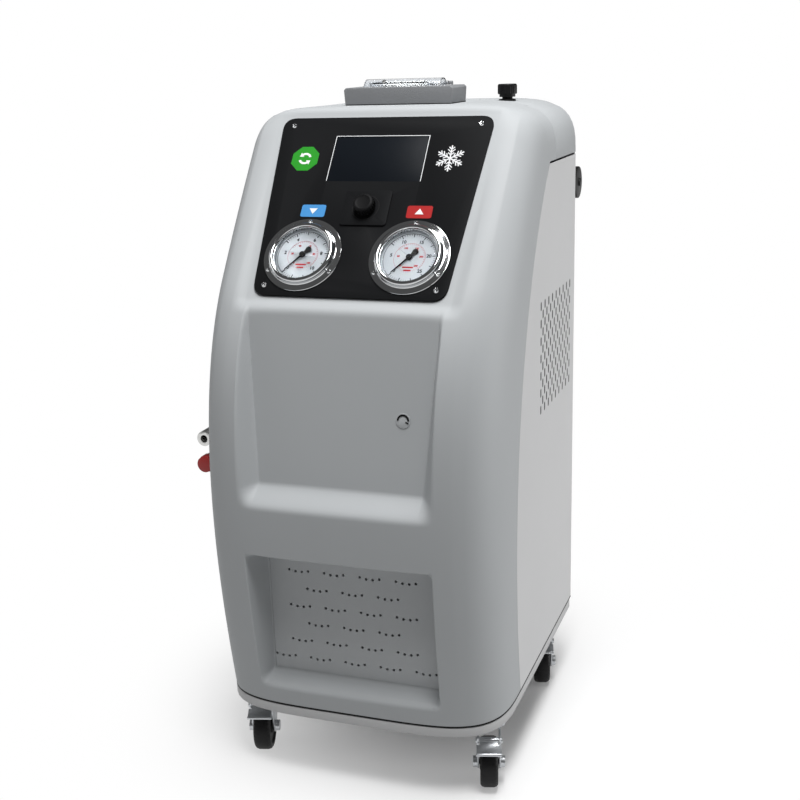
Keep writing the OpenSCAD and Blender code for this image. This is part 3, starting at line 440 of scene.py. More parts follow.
# %% Curves of the front
BELLY = 34
FACE_LEAN = radians(39.5)
FACE_Y = FRONT_Y + 60
FACE_Z = LID_Z - 141
SEAT_DEEP = 12
SEAT_GAP = 0.15
FASCIA_LOW, FASCIA_HIGH, FASCIA_LEN, FASCIA_FOOT = 134, 154, 282, -15
LID_FRONT_Y = REAR_Y - 171
HOOD_Y = REAR_Y - 132
UP_FACE = Vector((sin(FACE_LEAN), cos(FACE_LEAN)))
OFF_FACE = Vector((-cos(FACE_LEAN), sin(FACE_LEAN)))
brow_low = Vector((FACE_Y, FACE_Z)) + SEAT_DEEP * OFF_FACE
brow_high = brow_low + (FASCIA_LEN - 40) * UP_FACE
brow_top = Vector((brow_high.x + (TOP_Z - brow_high.y) * sin(FACE_LEAN) / cos(FACE_LEAN), TOP_Z))
top_start = Vector((brow_top.x + 40, TOP_Z))
top_end = Vector((HOOD_Y, TOP_Z))
seam_low = Vector((FRONT_Y + 133, RIM_Z))
seam_top = Vector((LID_FRONT_Y, LID_Z))
seam_end = Vector((HOOD_Y, LID_Z))
belly_curve = [
    Vector((FRONT_Y, RIM_Z)),
    Vector((FRONT_Y - BELLY, RIM_Z + 207)),
    brow_low - 185 * UP_FACE,
    brow_low,
]
seam_curve = [seam_low, seam_low + Vector((-40, 196)), seam_top + Vector((-202, -208)), seam_top]
fillet_curve = [brow_high, brow_high.lerp(brow_top, 0.75), top_start.lerp(brow_top, 0.75), top_start]


def bezier(points, t):
    """Point of a cubic curve."""
    u = 1 - t
    a, b, c, d = points
    return a * u**3 + b * 3 * t * u * u + c * 3 * t * t * u + d * t**3


def soft(t):
    """Smooth step from 0 to 1."""
    c = min(1, max(0, t))
    return c * c * (3 - 2 * c)


def lerp(a, b, t):
    """Straight mix of two values."""
    return a + (b - a) * t


def centre_at(v):
    """Centre line: belly, face, fillet, flat top."""
    if v <= 1:
        return bezier(belly_curve, v)
    if v <= 2:
        return brow_low.lerp(brow_high, v - 1)
    return bezier(fillet_curve, v - 2) if v <= 3 else top_start.lerp(top_end, v - 3)


def seam_at(v):
    """Side seam at the same height."""
    if v <= 1:
        return bezier(seam_curve, 0.78 * v)
    if v <= 2:
        return bezier(seam_curve, 0.78 + 0.17 * (v - 1))
    return bezier(seam_curve, 0.95 + 0.05 * (v - 2)) if v <= 3 else seam_top.lerp(seam_end, v - 3)


print("brow at", [round(c) for c in brow_low], "flat top from", round(top_start.x))

# %% Hollows and the fascia's bed
UPPER_HALF, UPPER_Z = 139, RIM_Z + 331
GRILLE_HALF, GRILLE_LOW, GRILLE_H = 122, RIM_Z + 43, 180
GRILLE_TOP = GRILLE_LOW + GRILLE_H
GRILLE_Y = FRONT_Y + 27
RECESS_SLOPE = 0.147
# Walls of the lower hollow: how far each starts outside the window, and how wide it is
SIDE_WALL, FOOT_WALL, HEAD_WALL = (12, 10), (16, 14), (13, 11)
# Upper hollow: width of its ledge, and of its side walls at the head and at the ledge
LEDGE_RUN, WALL_AT_HEAD, WALL_AT_LEDGE, WALL_RISE = 28, 7, 23, 200


def inside(x, half, blend):
    """1 within the half width, fading to 0 over the blend."""
    return soft((half + blend - abs(x)) / blend)


def between(z, low, high, blend_low, blend_high):
    """1 between two heights, fading on both sides."""
    return soft((z - low + blend_low) / blend_low) * soft((high + blend_high - z) / blend_high)


def recess_y(z):
    """Floor of the upper hollow, leaning back as it rises."""
    return FRONT_Y - 1.7 + (z - UPPER_Z) * RECESS_SLOPE


def creased(t):
    """From 0 to 1 across a wall: rolled at its outer edge, lightly creased at its foot."""
    share = min(1, max(0, t))
    return share * share * (2.45 - 1.45 * share)


def eased_push(depth, ease=7):
    """Depth of a hollow, running out softly where its floor meets the skin."""
    if abs(depth) < ease:
        return (depth + ease) ** 2 / (4 * ease)
    return max(0, depth)


def hollowed(x, y, z):
    """Press the two hollows into a point of the skin."""
    low_share = 1
    rooms = (GRILLE_HALF - abs(x), z - GRILLE_LOW, GRILLE_TOP - z)
    for room, (reach, wide) in zip(rooms, (SIDE_WALL, FOOT_WALL, HEAD_WALL)):
        low_share *= creased((room + reach) / wide)
    low_push = max(0, GRILLE_Y - y)
    rise = min(1, max(0, (z - UPPER_Z) / WALL_RISE))
    side_run = lerp(WALL_AT_LEDGE, WALL_AT_HEAD, rise)
    up_share = creased((UPPER_HALF - abs(x)) / side_run) * creased((z - UPPER_Z + LEDGE_RUN) / LEDGE_RUN)
    up_push = eased_push(recess_y(z) - y)
    return y + low_share * low_push + up_share * up_push * (1 - low_share)


BED_MARGIN, BED_SIDE = 8, 22
BED_SPAN, BED_ENDS = (-18, FASCIA_LEN - 12), (26, 24)


def bedded(x, y, z):
    """Flatten the skin to the fascia's bed."""
    run = Vector((y - FACE_Y, z - FACE_Z))
    along = run.dot(UP_FACE)
    rise = run.dot(OFF_FACE) + SEAT_GAP
    half = lerp(FASCIA_LOW, FASCIA_HIGH, (along - FASCIA_FOOT) / FASCIA_LEN) + BED_MARGIN
    share = inside(x, half, BED_SIDE) * between(along, *BED_SPAN, *BED_ENDS)
    return y - share * rise * OFF_FACE.x, z - share * rise * OFF_FACE.y


FLAT_HALF, FLAT_SHARE = 0.79, 0.66
CORNER_START = radians(37)


def roundness(v):
    """The two powers of a cross-section: full at the tray, squarer at the top."""
    if v < 2:
        return lerp(4.8, 7.6, v / 2), lerp(3.3, 4.3, v / 2)
    return lerp(7.6, 6.4, (v - 2) / 2), lerp(4.3, 3, (v - 2) / 2)


def skin_point(column, v):
    """A point of the front, at a signed column from -1 to 1 and a height v from 0 to 4."""
    across, down = roundness(v)
    share = abs(column)
    if share < FLAT_SHARE:
        wide = FLAT_HALF * share / FLAT_SHARE
        back = 1 - (1 - wide**across) ** (1 / down)
    else:
        angle = lerp(CORNER_START, pi / 2, (share - FLAT_SHARE) / (1 - FLAT_SHARE))
        wide = sin(angle) ** (2 / across)
        back = 1 - max(0, cos(angle)) ** (2 / down)
    yz = centre_at(v).lerp(seam_at(v), back)
    x = HALF_W * wide * (1 if column > 0 else -1)
    y, z = bedded(x, hollowed(x, yz.x, yz.y), yz.y)
    return at(x, y, z)


print("hollow floor at the ledge", round(recess_y(UPPER_Z)))

# %% The front cover
WALL = 3
ROWS = [k / 190 for k in range(190)] + [1 + k / 40 for k in range(40)]
ROWS += [2 + k / 22 for k in range(22)] + [3 + k / 8 for k in range(9)]
HALF_COLUMNS, WALL_COLUMNS = 56, (0.43, 0.57)
half_columns = {k / HALF_COLUMNS for k in range(HALF_COLUMNS + 1)}
half_columns |= {lerp(*WALL_COLUMNS, k / 24) for k in range(25)}
columns = sorted({-c for c in half_columns} | half_columns)
fresh()
bpy.ops.mesh.primitive_grid_add(x_subdivisions=len(columns) - 1, y_subdivisions=len(ROWS) - 1)
cover = bpy.context.object
for k, point in enumerate(cover.data.vertices):
    point.co = skin_point(columns[k % len(columns)], ROWS[k // len(columns)])
modify(cover, "SOLIDIFY", thickness=WALL * MM, offset=-1)
print("cover faces:", len(cover.data.polygons))

# %% [markdown]
# Two windows go through the moulding: a big one behind the fascia, and one at the bottom of the
# lower hollow, where the perforated insert shows. A third hole takes the quarter-turn fastener.
# Each is cut by a Boolean with a cutter that is thrown away.

# %% Windows of the cover
FACE = Matrix((
    (1, 0, 0, 0),
    (0, UP_FACE.x, OFF_FACE.x, 0),
    (0, UP_FACE.y, OFF_FACE.y, 0),
    (0, 0, 0, 1),
))
FACE.translation = at(0, FACE_Y, FACE_Z)


def on_face(x=0, s=0, h=0):
    """A place on the leaning face: across, up the slope and off it."""
    return FACE @ Matrix.Translation(Vector((x, s, h)) * MM)


def cut(piece, cutter):
    """Take the cutter out of the piece."""
    modify(piece, "BOOLEAN", object=cutter, operation="DIFFERENCE", solver="EXACT")
    bpy.data.objects.remove(cutter)


def eased(corners, reach, steps=8):
    """Closed outline with its corners rounded over a distance."""
    points = []
    for k, corner in enumerate(corners):
        here = Vector(corner)
        start = here + (Vector(corners[k - 1]) - here).normalized() * reach
        end = here + (Vector(corners[(k + 1) % len(corners)]) - here).normalized() * reach
        for i in range(steps + 1):
            t = i / steps
            points.append(tuple(start * (1 - t) ** 2 + here * 2 * t * (1 - t) + end * t * t))
    return points


def fascia_line(inset):
    """Outline of the fascia, drawn in by a distance."""
    low, high = FASCIA_LOW - inset, FASCIA_HIGH - inset
    foot, head = FASCIA_FOOT + inset, FASCIA_FOOT + FASCIA_LEN - inset
    return eased([(-low, foot), (low, foot), (high, head), (-high, head)], 20)


window = plate(fascia_line(14), 30, low=-15)
window.matrix_world = on_face()
cut(cover, window)
opening = plate(rounded_box(2 * GRILLE_HALF, GRILLE_H, 0.5), 40, low=-20)
opening.matrix_world = put(0, GRILLE_Y, (GRILLE_LOW + GRILLE_TOP) / 2) @ Matrix.Rotation(pi / 2, 4, "X")
cut(cover, opening)
LOCK_X, LOCK_Z, LOCK_R = 87, UPPER_Z + 97, 6
recess_turn = Matrix.Rotation(pi / 2 - atan(RECESS_SLOPE), 4, "X")
RECESS = put(LOCK_X, recess_y(LOCK_Z), LOCK_Z) @ recess_turn
lock_hole = turned([(0, -20), (LOCK_R + 0.1, -20), (LOCK_R + 0.1, 20), (0, 20)], 32)
lock_hole.matrix_world = RECESS
cut(cover, lock_hole)
done(cover, "front_moulding", "cover_grey", stands_for=["front_cover"], smooth=40)
print("cover faces after cutting:", len(cover.data.polygons))

# %% [markdown]
# ## Panels
# The hood, flanks, tray and rear panel have the right form already. Real sheet and moulded edges
# are never razor sharp, though: a copy of each solid gets its edges rounded, and that thin bright
# line along an edge is most of what makes it look like a made thing. The slotted flank keeps its
# punched edges. A black pad fills its slots to just under the sheet's face: painted shade for the
# dark inside of the slots. A black ring fills the groove between casing and tray: painted shade too.

# %% Casing panels
VENT_Y, VENT_Z, VENT_WIDE, VENT_HIGH = REAR_Y - 127, RIM_Z + 459, 202, 168
PAD_IN, PAD_OUT = HALF_W - 2.4, HALF_W - 0.12
dressed("top_hood", 1.0, "hood_moulding", "cover_grey")
dressed("front_grille", 0.35, "grille_insert", "grille_grey", segments=1)
dressed("side_left", 0.35, "left_flank", "sheet_grey")
dressed("side_right", 0, "right_flank", "sheet_grey")
# The pad is painted shade: a black plate for the dark inside of the vent slots.
pad_low = (PAD_IN, -VENT_WIDE / 2, -VENT_HIGH / 2)
slot_shade_pad = block(pad_low, (PAD_OUT, VENT_WIDE / 2, VENT_HIGH / 2), 0.05)
done(slot_shade_pad, "vent_slot_shade", "needle_black", place=put(0, VENT_Y, VENT_Z))
dressed("rear_panel", 0.4, "rear_sheet", "sheet_grey")
dressed("base_tray", 0.8, "tray", "tray_grey")


def rim_outline(grow):
    """Plan of the casing at the tray's rim, grown by a distance."""
    across, back = (HALF_W + grow) / HALF_W, REAR_Y + grow
    front = [(skin_point(c, 0) - ORIGIN) / MM for c in columns]
    return [(p.x * across, p.y - grow) for p in front] + [(HALF_W + grow, back), (-HALF_W - grow, back)]


# A black ring in the groove at the tray's rim: painted shade, for the shadow in that groove.
SHADE_RING_PROUD, SHADE_RING_DEEP, SHADE_RING_HIGH, SHADE_RING_LOW = 0.15, 2, 2.4, RIM_Z - 1.6
rim_shade_ring = plate(rim_outline(SHADE_RING_PROUD), SHADE_RING_HIGH)
cut(rim_shade_ring, plate(rim_outline(-SHADE_RING_DEEP), 8, low=-4))
done(rim_shade_ring, "rim_shade_ring", "needle_black", place=put(0, 0, SHADE_RING_LOW))

# %% [markdown]
# The rear panel is held by small dome-headed screws along both edges. One is turned, its cross is
# cut, and copies are set along the sheet.

# %% Rear panel screws
SCREW_R = 4.2
screw_rows = [RIM_Z + 40 + k * (LID_Z - RIM_Z - 80) / 4 for k in range(5)]


def dome_screw(radius, high):
    """A screw head with a rounded dome and a cross recess."""
    head = turned([(0, 0), (radius, 0), (radius, high * 0.3), (radius * 0.8, high * 0.8), (0, high)], 24)
    for wide, deep in ((radius * 1.2, 0.9), (0.9, radius * 1.2)):
        slot = block((-wide / 2, -deep / 2, high - 0.8), (wide / 2, deep / 2, high + 1), 0)
        cut(head, slot)
    return head


rear_screws = []
for side in (-1, 1):
    for height in screw_rows:
        head = dome_screw(SCREW_R, 2.2)
        head.matrix_world = put(side * (HALF_W - 12), REAR_Y, height) @ Matrix.Rotation(-pi / 2, 4, "X")
        current(head)
        bpy.ops.object.transform_apply(location=True, rotation=True, scale=True)
        rear_screws.append(head)
done(joined(rear_screws), "rear_screws", "zinc")
print("rear screws:", len(screw_rows) * 2)

# %% [markdown]
# ## The fascia
# A black film on a plate, with printed marks. On the object a print is a few hundredths of a
# millimetre thick. Here every mark is a plate a quarter of a millimetre high, so that it is real
# geometry, keeps its place in the exported mesh and catches a hint of light.

# %% Fascia and screen
FASCIA_T = 3
PRINT = 0.25
dressed("fascia", 0.7, "fascia_plate", "fascia_black")
dressed("display", 0.3, "screen_glass", "screen")
dressed("fascia_screws", 0.25, "face_screws", "bright_steel")


def printed(outlines, name, slot, x=0, s=0, h=FASCIA_T):
    """Flat marks on the face, joined to one print."""
    marks = [plate(outline, PRINT) for outline in outlines]
    return done(joined(marks), name, slot, place=on_face(x, s, h), smooth=20)


def strip(x0, y0, x1, y1, wide):
    """Outline of a straight bar between two points."""
    run = (Vector((x1, y1)) - Vector((x0, y0))).normalized() * wide / 2
    side = Vector((-run.y, run.x))
    ends = (Vector((x0, y0)), Vector((x1, y1)))
    return [tuple(ends[0] - side), tuple(ends[1] - side), tuple(ends[1] + side), tuple(ends[0] + side)]


SCREEN_HALF, SCREEN_LOW, SCREEN_HIGH, LINE_W = 67.4, 163, 236, 0.85
line_end, line_top = SCREEN_HALF - LINE_W / 2, SCREEN_HIGH - LINE_W / 2
frame_line = [
    strip(-SCREEN_HALF, SCREEN_LOW, -SCREEN_HALF, SCREEN_HIGH, LINE_W),
    strip(SCREEN_HALF, SCREEN_LOW, SCREEN_HALF, SCREEN_HIGH, LINE_W),
    strip(-line_end, line_top, line_end, line_top, LINE_W),
]
printed(frame_line, "screen_line", "print_white")
print("fascia pieces done")

# %% [markdown]
# The two round signs are generic: a green octagon with two chasing arrows for the recovery cycle,
# and a snowflake for the cooling side. The badges above the gauges are plain colour, blue for the
# low side with an arrow down and red for the high side with an arrow up.

# %% Signs and badges
SIGN_S = 199
BADGE_X, BADGE_S, BADGE_W, BADGE_H = 75.5, 115.5, 35, 19
octagon = [(21 * cos(pi / 8 + k * pi / 4), 21 * sin(pi / 8 + k * pi / 4)) for k in range(8)]
printed([octagon], "octagon", "print_green", -107, SIGN_S)


def arc_band(radius, wide, start, end, steps=10):
    """Outline of part of a ring, angles in degrees."""
    angles = [radians(lerp(start, end, k / steps)) for k in range(steps + 1)]
    outer = [((radius + wide / 2) * cos(a), (radius + wide / 2) * sin(a)) for a in angles]
    inner = [((radius - wide / 2) * cos(a), (radius - wide / 2) * sin(a)) for a in reversed(angles)]
    return outer + inner


def arrow_tip(radius, size, angle):
    """Triangle at the end of an arc, pointing on along it."""
    a = radians(angle)
    ahead = Vector((-sin(a), cos(a))) * size
    out = Vector((cos(a), sin(a)))
    inner, outer = out * (radius - size * 0.8), out * (radius + size * 0.8)
    return [tuple(inner), tuple(outer), tuple(out * radius + ahead)]


cycle = []
for turn in (20, 200):
    cycle += [arc_band(7.6, 3.2, turn, turn + 105), arrow_tip(7.6, 5.2, turn + 105)]
printed(cycle, "cycle_arrows", "print_white", -107, SIGN_S, FASCIA_T + PRINT)
FLAKE = 20.5
arm = [plate(strip(0, 0, 0, FLAKE, 1.8), PRINT)]
for root, reach in ((6, 5), (10.5, 6.2), (15, 4.8)):
    for side in (-1, 1):
        tip = (side * reach * 0.8, root + reach * 0.62)
        arm.append(plate(strip(0, root - 1, *tip, 1.35), PRINT))
flake = repeated(joined(arm), 6)
done(flake, "snowflake", "print_white", place=on_face(102, SIGN_S, FASCIA_T), smooth=20)
for side, name, slot in ((-1, "low_badge", "print_blue"), (1, "high_badge", "print_red")):
    printed([rounded_box(BADGE_W, BADGE_H, 3)], name, slot, side * BADGE_X, BADGE_S)
    mark = [(-6, -3.6 * side), (6, -3.6 * side), (0, 5 * side)]
    printed([mark], name + "_arrow", "print_white", side * BADGE_X, BADGE_S, FASCIA_T + PRINT)
print("signs and badges done")

# %% [markdown]
# ## Gauges
# Each gauge is a turned flange and bezel in bright steel, a white printed dial, a black pointer
# and a lens. The bezel is spun from one profile, with its rounded lip drawn point by point. The
# dial's ticks are one small bar each, copied round the scale with a spin. The numbers are text,
# turned into a mesh before they are placed.

# %% Gauge bodies, dials, pointers and lenses
GAUGE_X, GAUGE_S = 75, 47
DIAL_R = 38
DIAL_H = 2.3
gauge_profile = [
    (0, -34), (42, -34), (42, FASCIA_T), (54, FASCIA_T), (54.8, 3.3), (55, 4.1), (54.6, 4.8), (53.8, 5),
    (48.4, 5.1), (47, 5.5), (46.2, 6.4), (45.8, 8), (45.5, 10), (44.9, 11.6), (43.8, 12.6), (42.3, 13),
    (40.8, 12.8), (39.8, 12.1), (39.2, 11), (39, 9), (38, 9), (38, 1.5), (36, 1.5), (36, -30), (0, -30),
]
for side, name in ((-1, "low"), (1, "high")):
    ring = turned(gauge_profile, 96)
    spot = on_face(side * GAUGE_X, GAUGE_S)
    done(ring, name + "_bezel", "bright_steel", stands_for=[name + "_gauge"], place=spot)
    dressed(name + "_dial", 0, name + "_face", "dial_white")
    dressed(name + "_glass", 0.3, name + "_lens", "lens")
    dressed(name + "_needle", 0.12, name + "_hand", "needle_black", name + "_pointer", segments=1)
print("gauges: 2")

# %% Dial scales
ZERO_ANGLE, SWEEP = 228, -276
INK = 0.12


def scale_ticks(inner, outer, wide, count, low=DIAL_H):
    """A ring of ticks from the zero to the full mark."""
    tick = plate(strip(inner, 0, outer, 0, wide), INK, low)
    edit(tick)
    bpy.ops.transform.rotate(value=-radians(ZERO_ANGLE), orient_axis="Z", center_override=(0, 0, 0))
    fresh()
    return repeated(tick, count, radians(SWEEP))


def number(text, size, x, y):
    """A numeral as a thin mesh, centred on a place of the dial."""
    fresh()
    bpy.ops.object.text_add()
    numeral = bpy.context.object
    numeral.data.body = text
    numeral.data.size = size * MM
    numeral.data.extrude = INK / 2 * MM
    numeral.data.offset = 0.2 * MM
    numeral.data.align_x = "CENTER"
    numeral.data.align_y = "CENTER"
    bpy.ops.object.convert(target="MESH")
    numeral.matrix_world = Matrix.Translation(Vector((x, y, DIAL_H + INK / 2)) * MM)
    bpy.ops.object.transform_apply(location=True, rotation=True, scale=True)
    return numeral


def numbers_round(values, radius, size):
    """Numerals set along the scale."""
    ring = []
    for k, value in enumerate(values):
        a = radians(ZERO_ANGLE + SWEEP * k / (len(values) - 1))
        ring.append(number(str(value), size, radius * cos(a), radius * sin(a)))
    return ring


def dial_arc(radius, wide):
    """A thin line along the whole scale."""
    return plate(arc_band(radius, wide, ZERO_ANGLE, ZERO_ANGLE + SWEEP, 60), INK, DIAL_H)


for side, name, step in ((-1, "low", 2), (1, "high", 5)):
    spot = on_face(side * GAUGE_X, GAUGE_S)
    black = [scale_ticks(32.5, 35.5, 0.5, 51), scale_ticks(30.5, 35.5, 1.1, 11), dial_arc(35.6, 0.6)]
    black += numbers_round([step * k for k in range(6)], 25.8, 6.6)
    done(joined(black), name + "_scale", "print_black", place=spot, smooth=20)
    red = [scale_ticks(19, 21, 0.35, 36), dial_arc(21.2, 0.3)]
    red += numbers_round([10 * step * k for k in range(6)], 15.6, 3.6)
    red.append(plate([(x, y - 14) for x, y in rounded_box(15, 2.2, 0.5)], INK, DIAL_H))
    red.append(plate([(x, y - 18.4) for x, y in rounded_box(10, 2.2, 0.5)], INK, DIAL_H))
    done(joined(red), name + "_inner_scale", "print_red", place=spot, smooth=20)
print("dial scales: 4")

# %% [markdown]
# ## Selector and fastener
# Between the badges sits a raised black plate with a round knob on a spindle. Black on black, it
# is told apart by gloss and by its rounded edges alone, so those are drawn with care: a fluted
# rim, a dished cap and one pointer groove. The quarter-turn fastener in the upper hollow is a
# plain disc with a curved slot.

# %% Selector knob and cover fastener
KNOB_S = 120
PLATE_TOP = FASCIA_T + 2.4
KNOB_LOW = PLATE_TOP + 1.8
KNOB_R = 14
knob_profile = [
    (3.6, 0), (KNOB_R - 0.6, 0), (KNOB_R, 0.6), (KNOB_R, 9.6), (KNOB_R - 0.5, 11), (KNOB_R - 1.6, 12),
    (KNOB_R - 3.6, 12.4), (KNOB_R - 4.6, 11.9), (KNOB_R - 6.5, 11.5), (0, 11.3), (0, 6), (3.6, 6),
]
knob = turned(knob_profile, 72)
flute = turned([(0, 1.2), (0.9, 1.2), (0.9, 9.2), (0, 9.2)], 10)
edit(flute)
bpy.ops.transform.translate(value=(KNOB_R * MM, 0, 0))
repeated(flute, 24)
groove = block((-0.8, KNOB_R - 6.5, 11.6), (0.8, KNOB_R + 1, 13), 0)
cut(knob, groove)
knob_place = on_face(0, KNOB_S, KNOB_LOW)
done(joined([knob, flute]), "selector_cap", "knob_black", "selector_knob", ["knob"], knob_place)
dressed("knob_plate", 0.8, "selector_plate", "fascia_black")
dressed("knob_spindle", 0.3, "selector_shaft", "bright_steel", "selector_spindle")
half_rings = [arc_band(18.5, 1.0, start, start + 180, 30) for start in (0, 180)]
printed(half_rings, "selector_ring", "black_plastic", 0, KNOB_S, PLATE_TOP)
dressed("cover_lock", 0.3, "fastener", "cover_grey", "lock")
# The curved slot and its notch are black plates: painted shade, for the dark inside of the shallow slot.
lock_slot_shade = joined([plate(arc_band(7.2, 2.2, 0, 180, 30), 0.5), plate(strip(3.5, -1.5, 7.5, -3.5, 1.6), 0.5)])
slot_place = RECESS @ Matrix.Translation(Vector((0, 0, 0.9)) * MM)
done(lock_slot_shade, "fastener_slot_shade", "print_black", "lock", place=slot_place)
print("selector and fastener done")

# %% [markdown]
# ## Printer and filler cap on the lid
# The printer is a low box with a half-round clear cover over its paper roll. The clear cover is
# the solid's own shell with its edges eased. A black gasket under the box, which also paints the
# shade line along its foot, a straight tear bar and a small metal lift knob are added, because the
# eye reads the box by those lines.

# %% Printer
PRINTER_MID_Y = top_start.x + 37
PRINTER_TOP = TOP_Z + 24
dressed("printer_body", 1.6, "printer_box", "printer_grey", segments=3)
dressed("printer_cover", 0.25, "printer_window", "clear_plastic", "printer_lid")
dressed("paper_roll", 0.3, "paper_spool", "paper", "roll")
# The gasket is partly painted shade: black for the dark line of shade where the box sits on the lid.
gasket_and_shade = plate(rounded_box(158, 71, 3), 1.2)
done(gasket_and_shade, "printer_gasket_and_shade", "needle_black", place=put(0, PRINTER_MID_Y, TOP_Z))
tear_bar = block((-44, -15, 4.2), (38, -13.4, 5.8), 0.3)
done(tear_bar, "tear_bar", "needle_black", "printer_lid", place=put(0, PRINTER_MID_Y, PRINTER_TOP))
lift_knob = turned([(0, 0), (3.1, 0), (3.1, 2.4), (2.5, 3.2), (0, 3.4)], 32)
lift_place = put(-26, PRINTER_MID_Y - 14.2, PRINTER_TOP + 5.7) @ Matrix.Rotation(pi / 4, 4, "X")
done(lift_knob, "lift_knob", "nickel", "printer_lid", place=lift_place)
print("printer pieces: 6")

# %% Filler cap and hose ports
dressed("filler_neck", 0.5, "neck", "black_plastic")
dressed("filler_cap", 0.4, "screw_cap", "black_plastic", "cap")
dressed("low_port", 0.5, "low_coupling", "nickel")
dressed("high_port", 0.5, "high_coupling", "nickel")
dressed("port_cap", 0.4, "coupling_cap", "red_plastic", "hose_cap")
print("cap and ports done")

# %% [markdown]
# ## Rear: push bar, inlet and switch
# The bar is a tube with a round black disc at each end, and its arms bolt to the rear panel.

# %% Push bar, inlet and switch
dressed("push_bar", 1.2, "push_tube", "black_plastic", segments=3)
dressed("bar_arms", 1.0, "tube_arms", "frame_dark")
dressed("mains_inlet", 0.4, "inlet", "black_plastic")
dressed("inlet_blades", 0.3, "blades", "valve_brass")
dressed("switch_housing", 0.4, "switch_frame", "black_plastic")
dressed("power_rocker", 0.4, "rocker_key", "red_plastic", "rocker")
print("rear pieces done")

# %% [markdown]
# ## Casters
# Zinc plated forks, a black wheel, a brake pedal with a rolled edge. The four are the same, so one
# loop dresses them, each on its own swivelling fork.

# %% Casters
dressed("caster_plates", 0.5, "top_plates", "zinc")
for corner in ("fl", "fr", "rl", "rr"):
    dressed("fork_" + corner, 0.5, "yoke_" + corner, "zinc", "fork_" + corner)
    dressed("wheel_" + corner, 0.5, "tyre_" + corner, "wheel_black", "wheel_" + corner)
    dressed("pedal_" + corner, 0.4, "brake_" + corner, "zinc", "pedal_" + corner)
print("casters: 4")

# %% [markdown]
# ## Inside
# What sits inside shows only through the slots and holes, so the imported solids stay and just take
# their finish.

# %% Finishes of the inner solids
slot_of = {entry["node"]: entry["material_slot"] for entry in frame["record"]["subparts"]}
inner = 0
for name, node in frame["nodes"].items():
    if not node.hide_render:
        node.data.materials.clear()
        node.data.materials.append(FINISHES[slot_of[name]])
        inner += 1
print("inner solids with a finish:", inner)

# %% [markdown]
# ## Studio
# A pale floor and soft light, as in a catalogue. One lamp overhead and one above the front give the
# bright lid and ledges, one from the right lights the flank, and a weak one catches the left edge.
# The floor is lit near the machine, where its shadow falls, and plain white to the camera further
# out.

# %% Floor and world
fresh()
bpy.ops.mesh.primitive_plane_add(size=30, location=(0, 0, 0))
floor = bpy.context.object
floor.name = "floor"
ground = bpy.data.materials.new("floor_white")
ground.use_nodes = True
tree = ground.node_tree
tree.nodes.clear()
output = tree.nodes.new("ShaderNodeOutputMaterial")
matte = tree.nodes.new("ShaderNodeBsdfDiffuse")
glow = tree.nodes.new("ShaderNodeEmission")
blend = tree.nodes.new("ShaderNodeMixShader")
where = tree.nodes.new("ShaderNodeTexCoord")
reach = tree.nodes.new("ShaderNodeVectorMath")
reach.operation = "LENGTH"
fade = tree.nodes.new("ShaderNodeMapRange")
fade.interpolation_type = "SMOOTHSTEP"
FADE_START, FADE_END = 0.02, 0.6
FADE_CENTRE = (0.1, 0.02, 0)
FLOOR_BOUNCE, FLOOR_PALE = 0.62, 0.9
fade.inputs["From Min"].default_value = FADE_START
fade.inputs["From Max"].default_value = FADE_END
offset = tree.nodes.new("ShaderNodeVectorMath")
offset.operation = "SUBTRACT"
offset.inputs[1].default_value = FADE_CENTRE
tree.links.new(where.outputs["Object"], offset.inputs[0])
tree.links.new(offset.outputs["Vector"], reach.inputs[0])
tree.links.new(reach.outputs["Value"], fade.inputs["Value"])
path = tree.nodes.new("ShaderNodeLightPath")
bounce = tree.nodes.new("ShaderNodeMapRange")
bounce.inputs["To Min"].default_value = FLOOR_BOUNCE
bounce.inputs["To Max"].default_value = FLOOR_PALE
tree.links.new(path.outputs["Is Camera Ray"], bounce.inputs["Value"])
tree.links.new(bounce.outputs["Result"], matte.inputs["Color"])
seen = tree.nodes.new("ShaderNodeMath")
seen.operation = "MAXIMUM"
tree.links.new(path.outputs["Is Camera Ray"], seen.inputs[0])
tree.links.new(path.outputs["Is Glossy Ray"], seen.inputs[1])
share = tree.nodes.new("ShaderNodeMath")
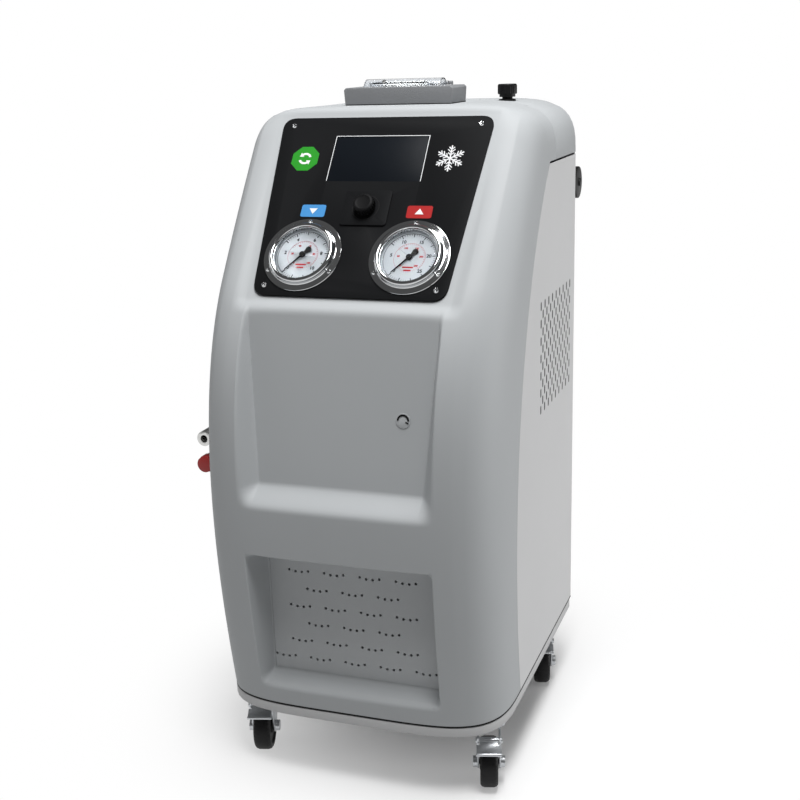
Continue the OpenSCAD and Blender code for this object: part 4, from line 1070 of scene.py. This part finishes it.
share.operation = "MULTIPLY"
tree.links.new(fade.outputs["Result"], share.inputs[0])
tree.links.new(seen.outputs["Value"], share.inputs[1])
tree.links.new(share.outputs["Value"], blend.inputs["Fac"])
tree.links.new(matte.outputs["BSDF"], blend.inputs[1])
tree.links.new(glow.outputs["Emission"], blend.inputs[2])
tree.links.new(blend.outputs["Shader"], output.inputs["Surface"])
floor.data.materials.append(ground)

world = bpy.data.worlds.new("studio")
bpy.context.scene.world = world
world.use_nodes = True
sky = world.node_tree
AMBIENT = 0.11
backdrop = sky.nodes["Background"]
backdrop.inputs["Color"].default_value = (1, 1, 1, 1)
ray = sky.nodes.new("ShaderNodeLightPath")
plain = sky.nodes.new("ShaderNodeMath")
plain.operation = "MAXIMUM"
sky.links.new(ray.outputs["Is Camera Ray"], plain.inputs[0])
sky.links.new(ray.outputs["Is Transmission Ray"], plain.inputs[1])
level = sky.nodes.new("ShaderNodeMapRange")
level.inputs["To Min"].default_value = AMBIENT
level.inputs["To Max"].default_value = 1
sky.links.new(plain.outputs["Value"], level.inputs["Value"])
sky.links.new(level.outputs["Result"], backdrop.inputs["Strength"])
print("floor and world ready")

# %% Lamps
def soft_lamp(name, place, aim, size, watts):
    """A square area lamp that looks at a point; places in metres."""
    data = bpy.data.lights.new(name, "AREA")
    data.size = size
    data.energy = watts
    lamp = bpy.data.objects.new(name, data)
    bpy.context.scene.collection.objects.link(lamp)
    lamp.location = place
    lamp.rotation_euler = (Vector(aim) - Vector(place)).to_track_quat("-Z", "Y").to_euler()
    return lamp


soft_lamp("overhead", (0.35, -0.1, 2.9), (0, -0.05, 0.5), 1.0, 40)
soft_lamp("front_top", (0.55, -1.0, 2.95), (0, -0.25, 0.4), 0.8, 54)
soft_lamp("right_side", (2.4, 1.0, 0.35), (0.1, 0.1, 0.3), 1.4, 33)
soft_lamp("left_edge", (-2.4, -0.6, 1.6), (0, 0, 0.5), 1.4, 9)
bpy.context.scene.view_settings.view_transform = "Standard"
print("lamps:", 4)
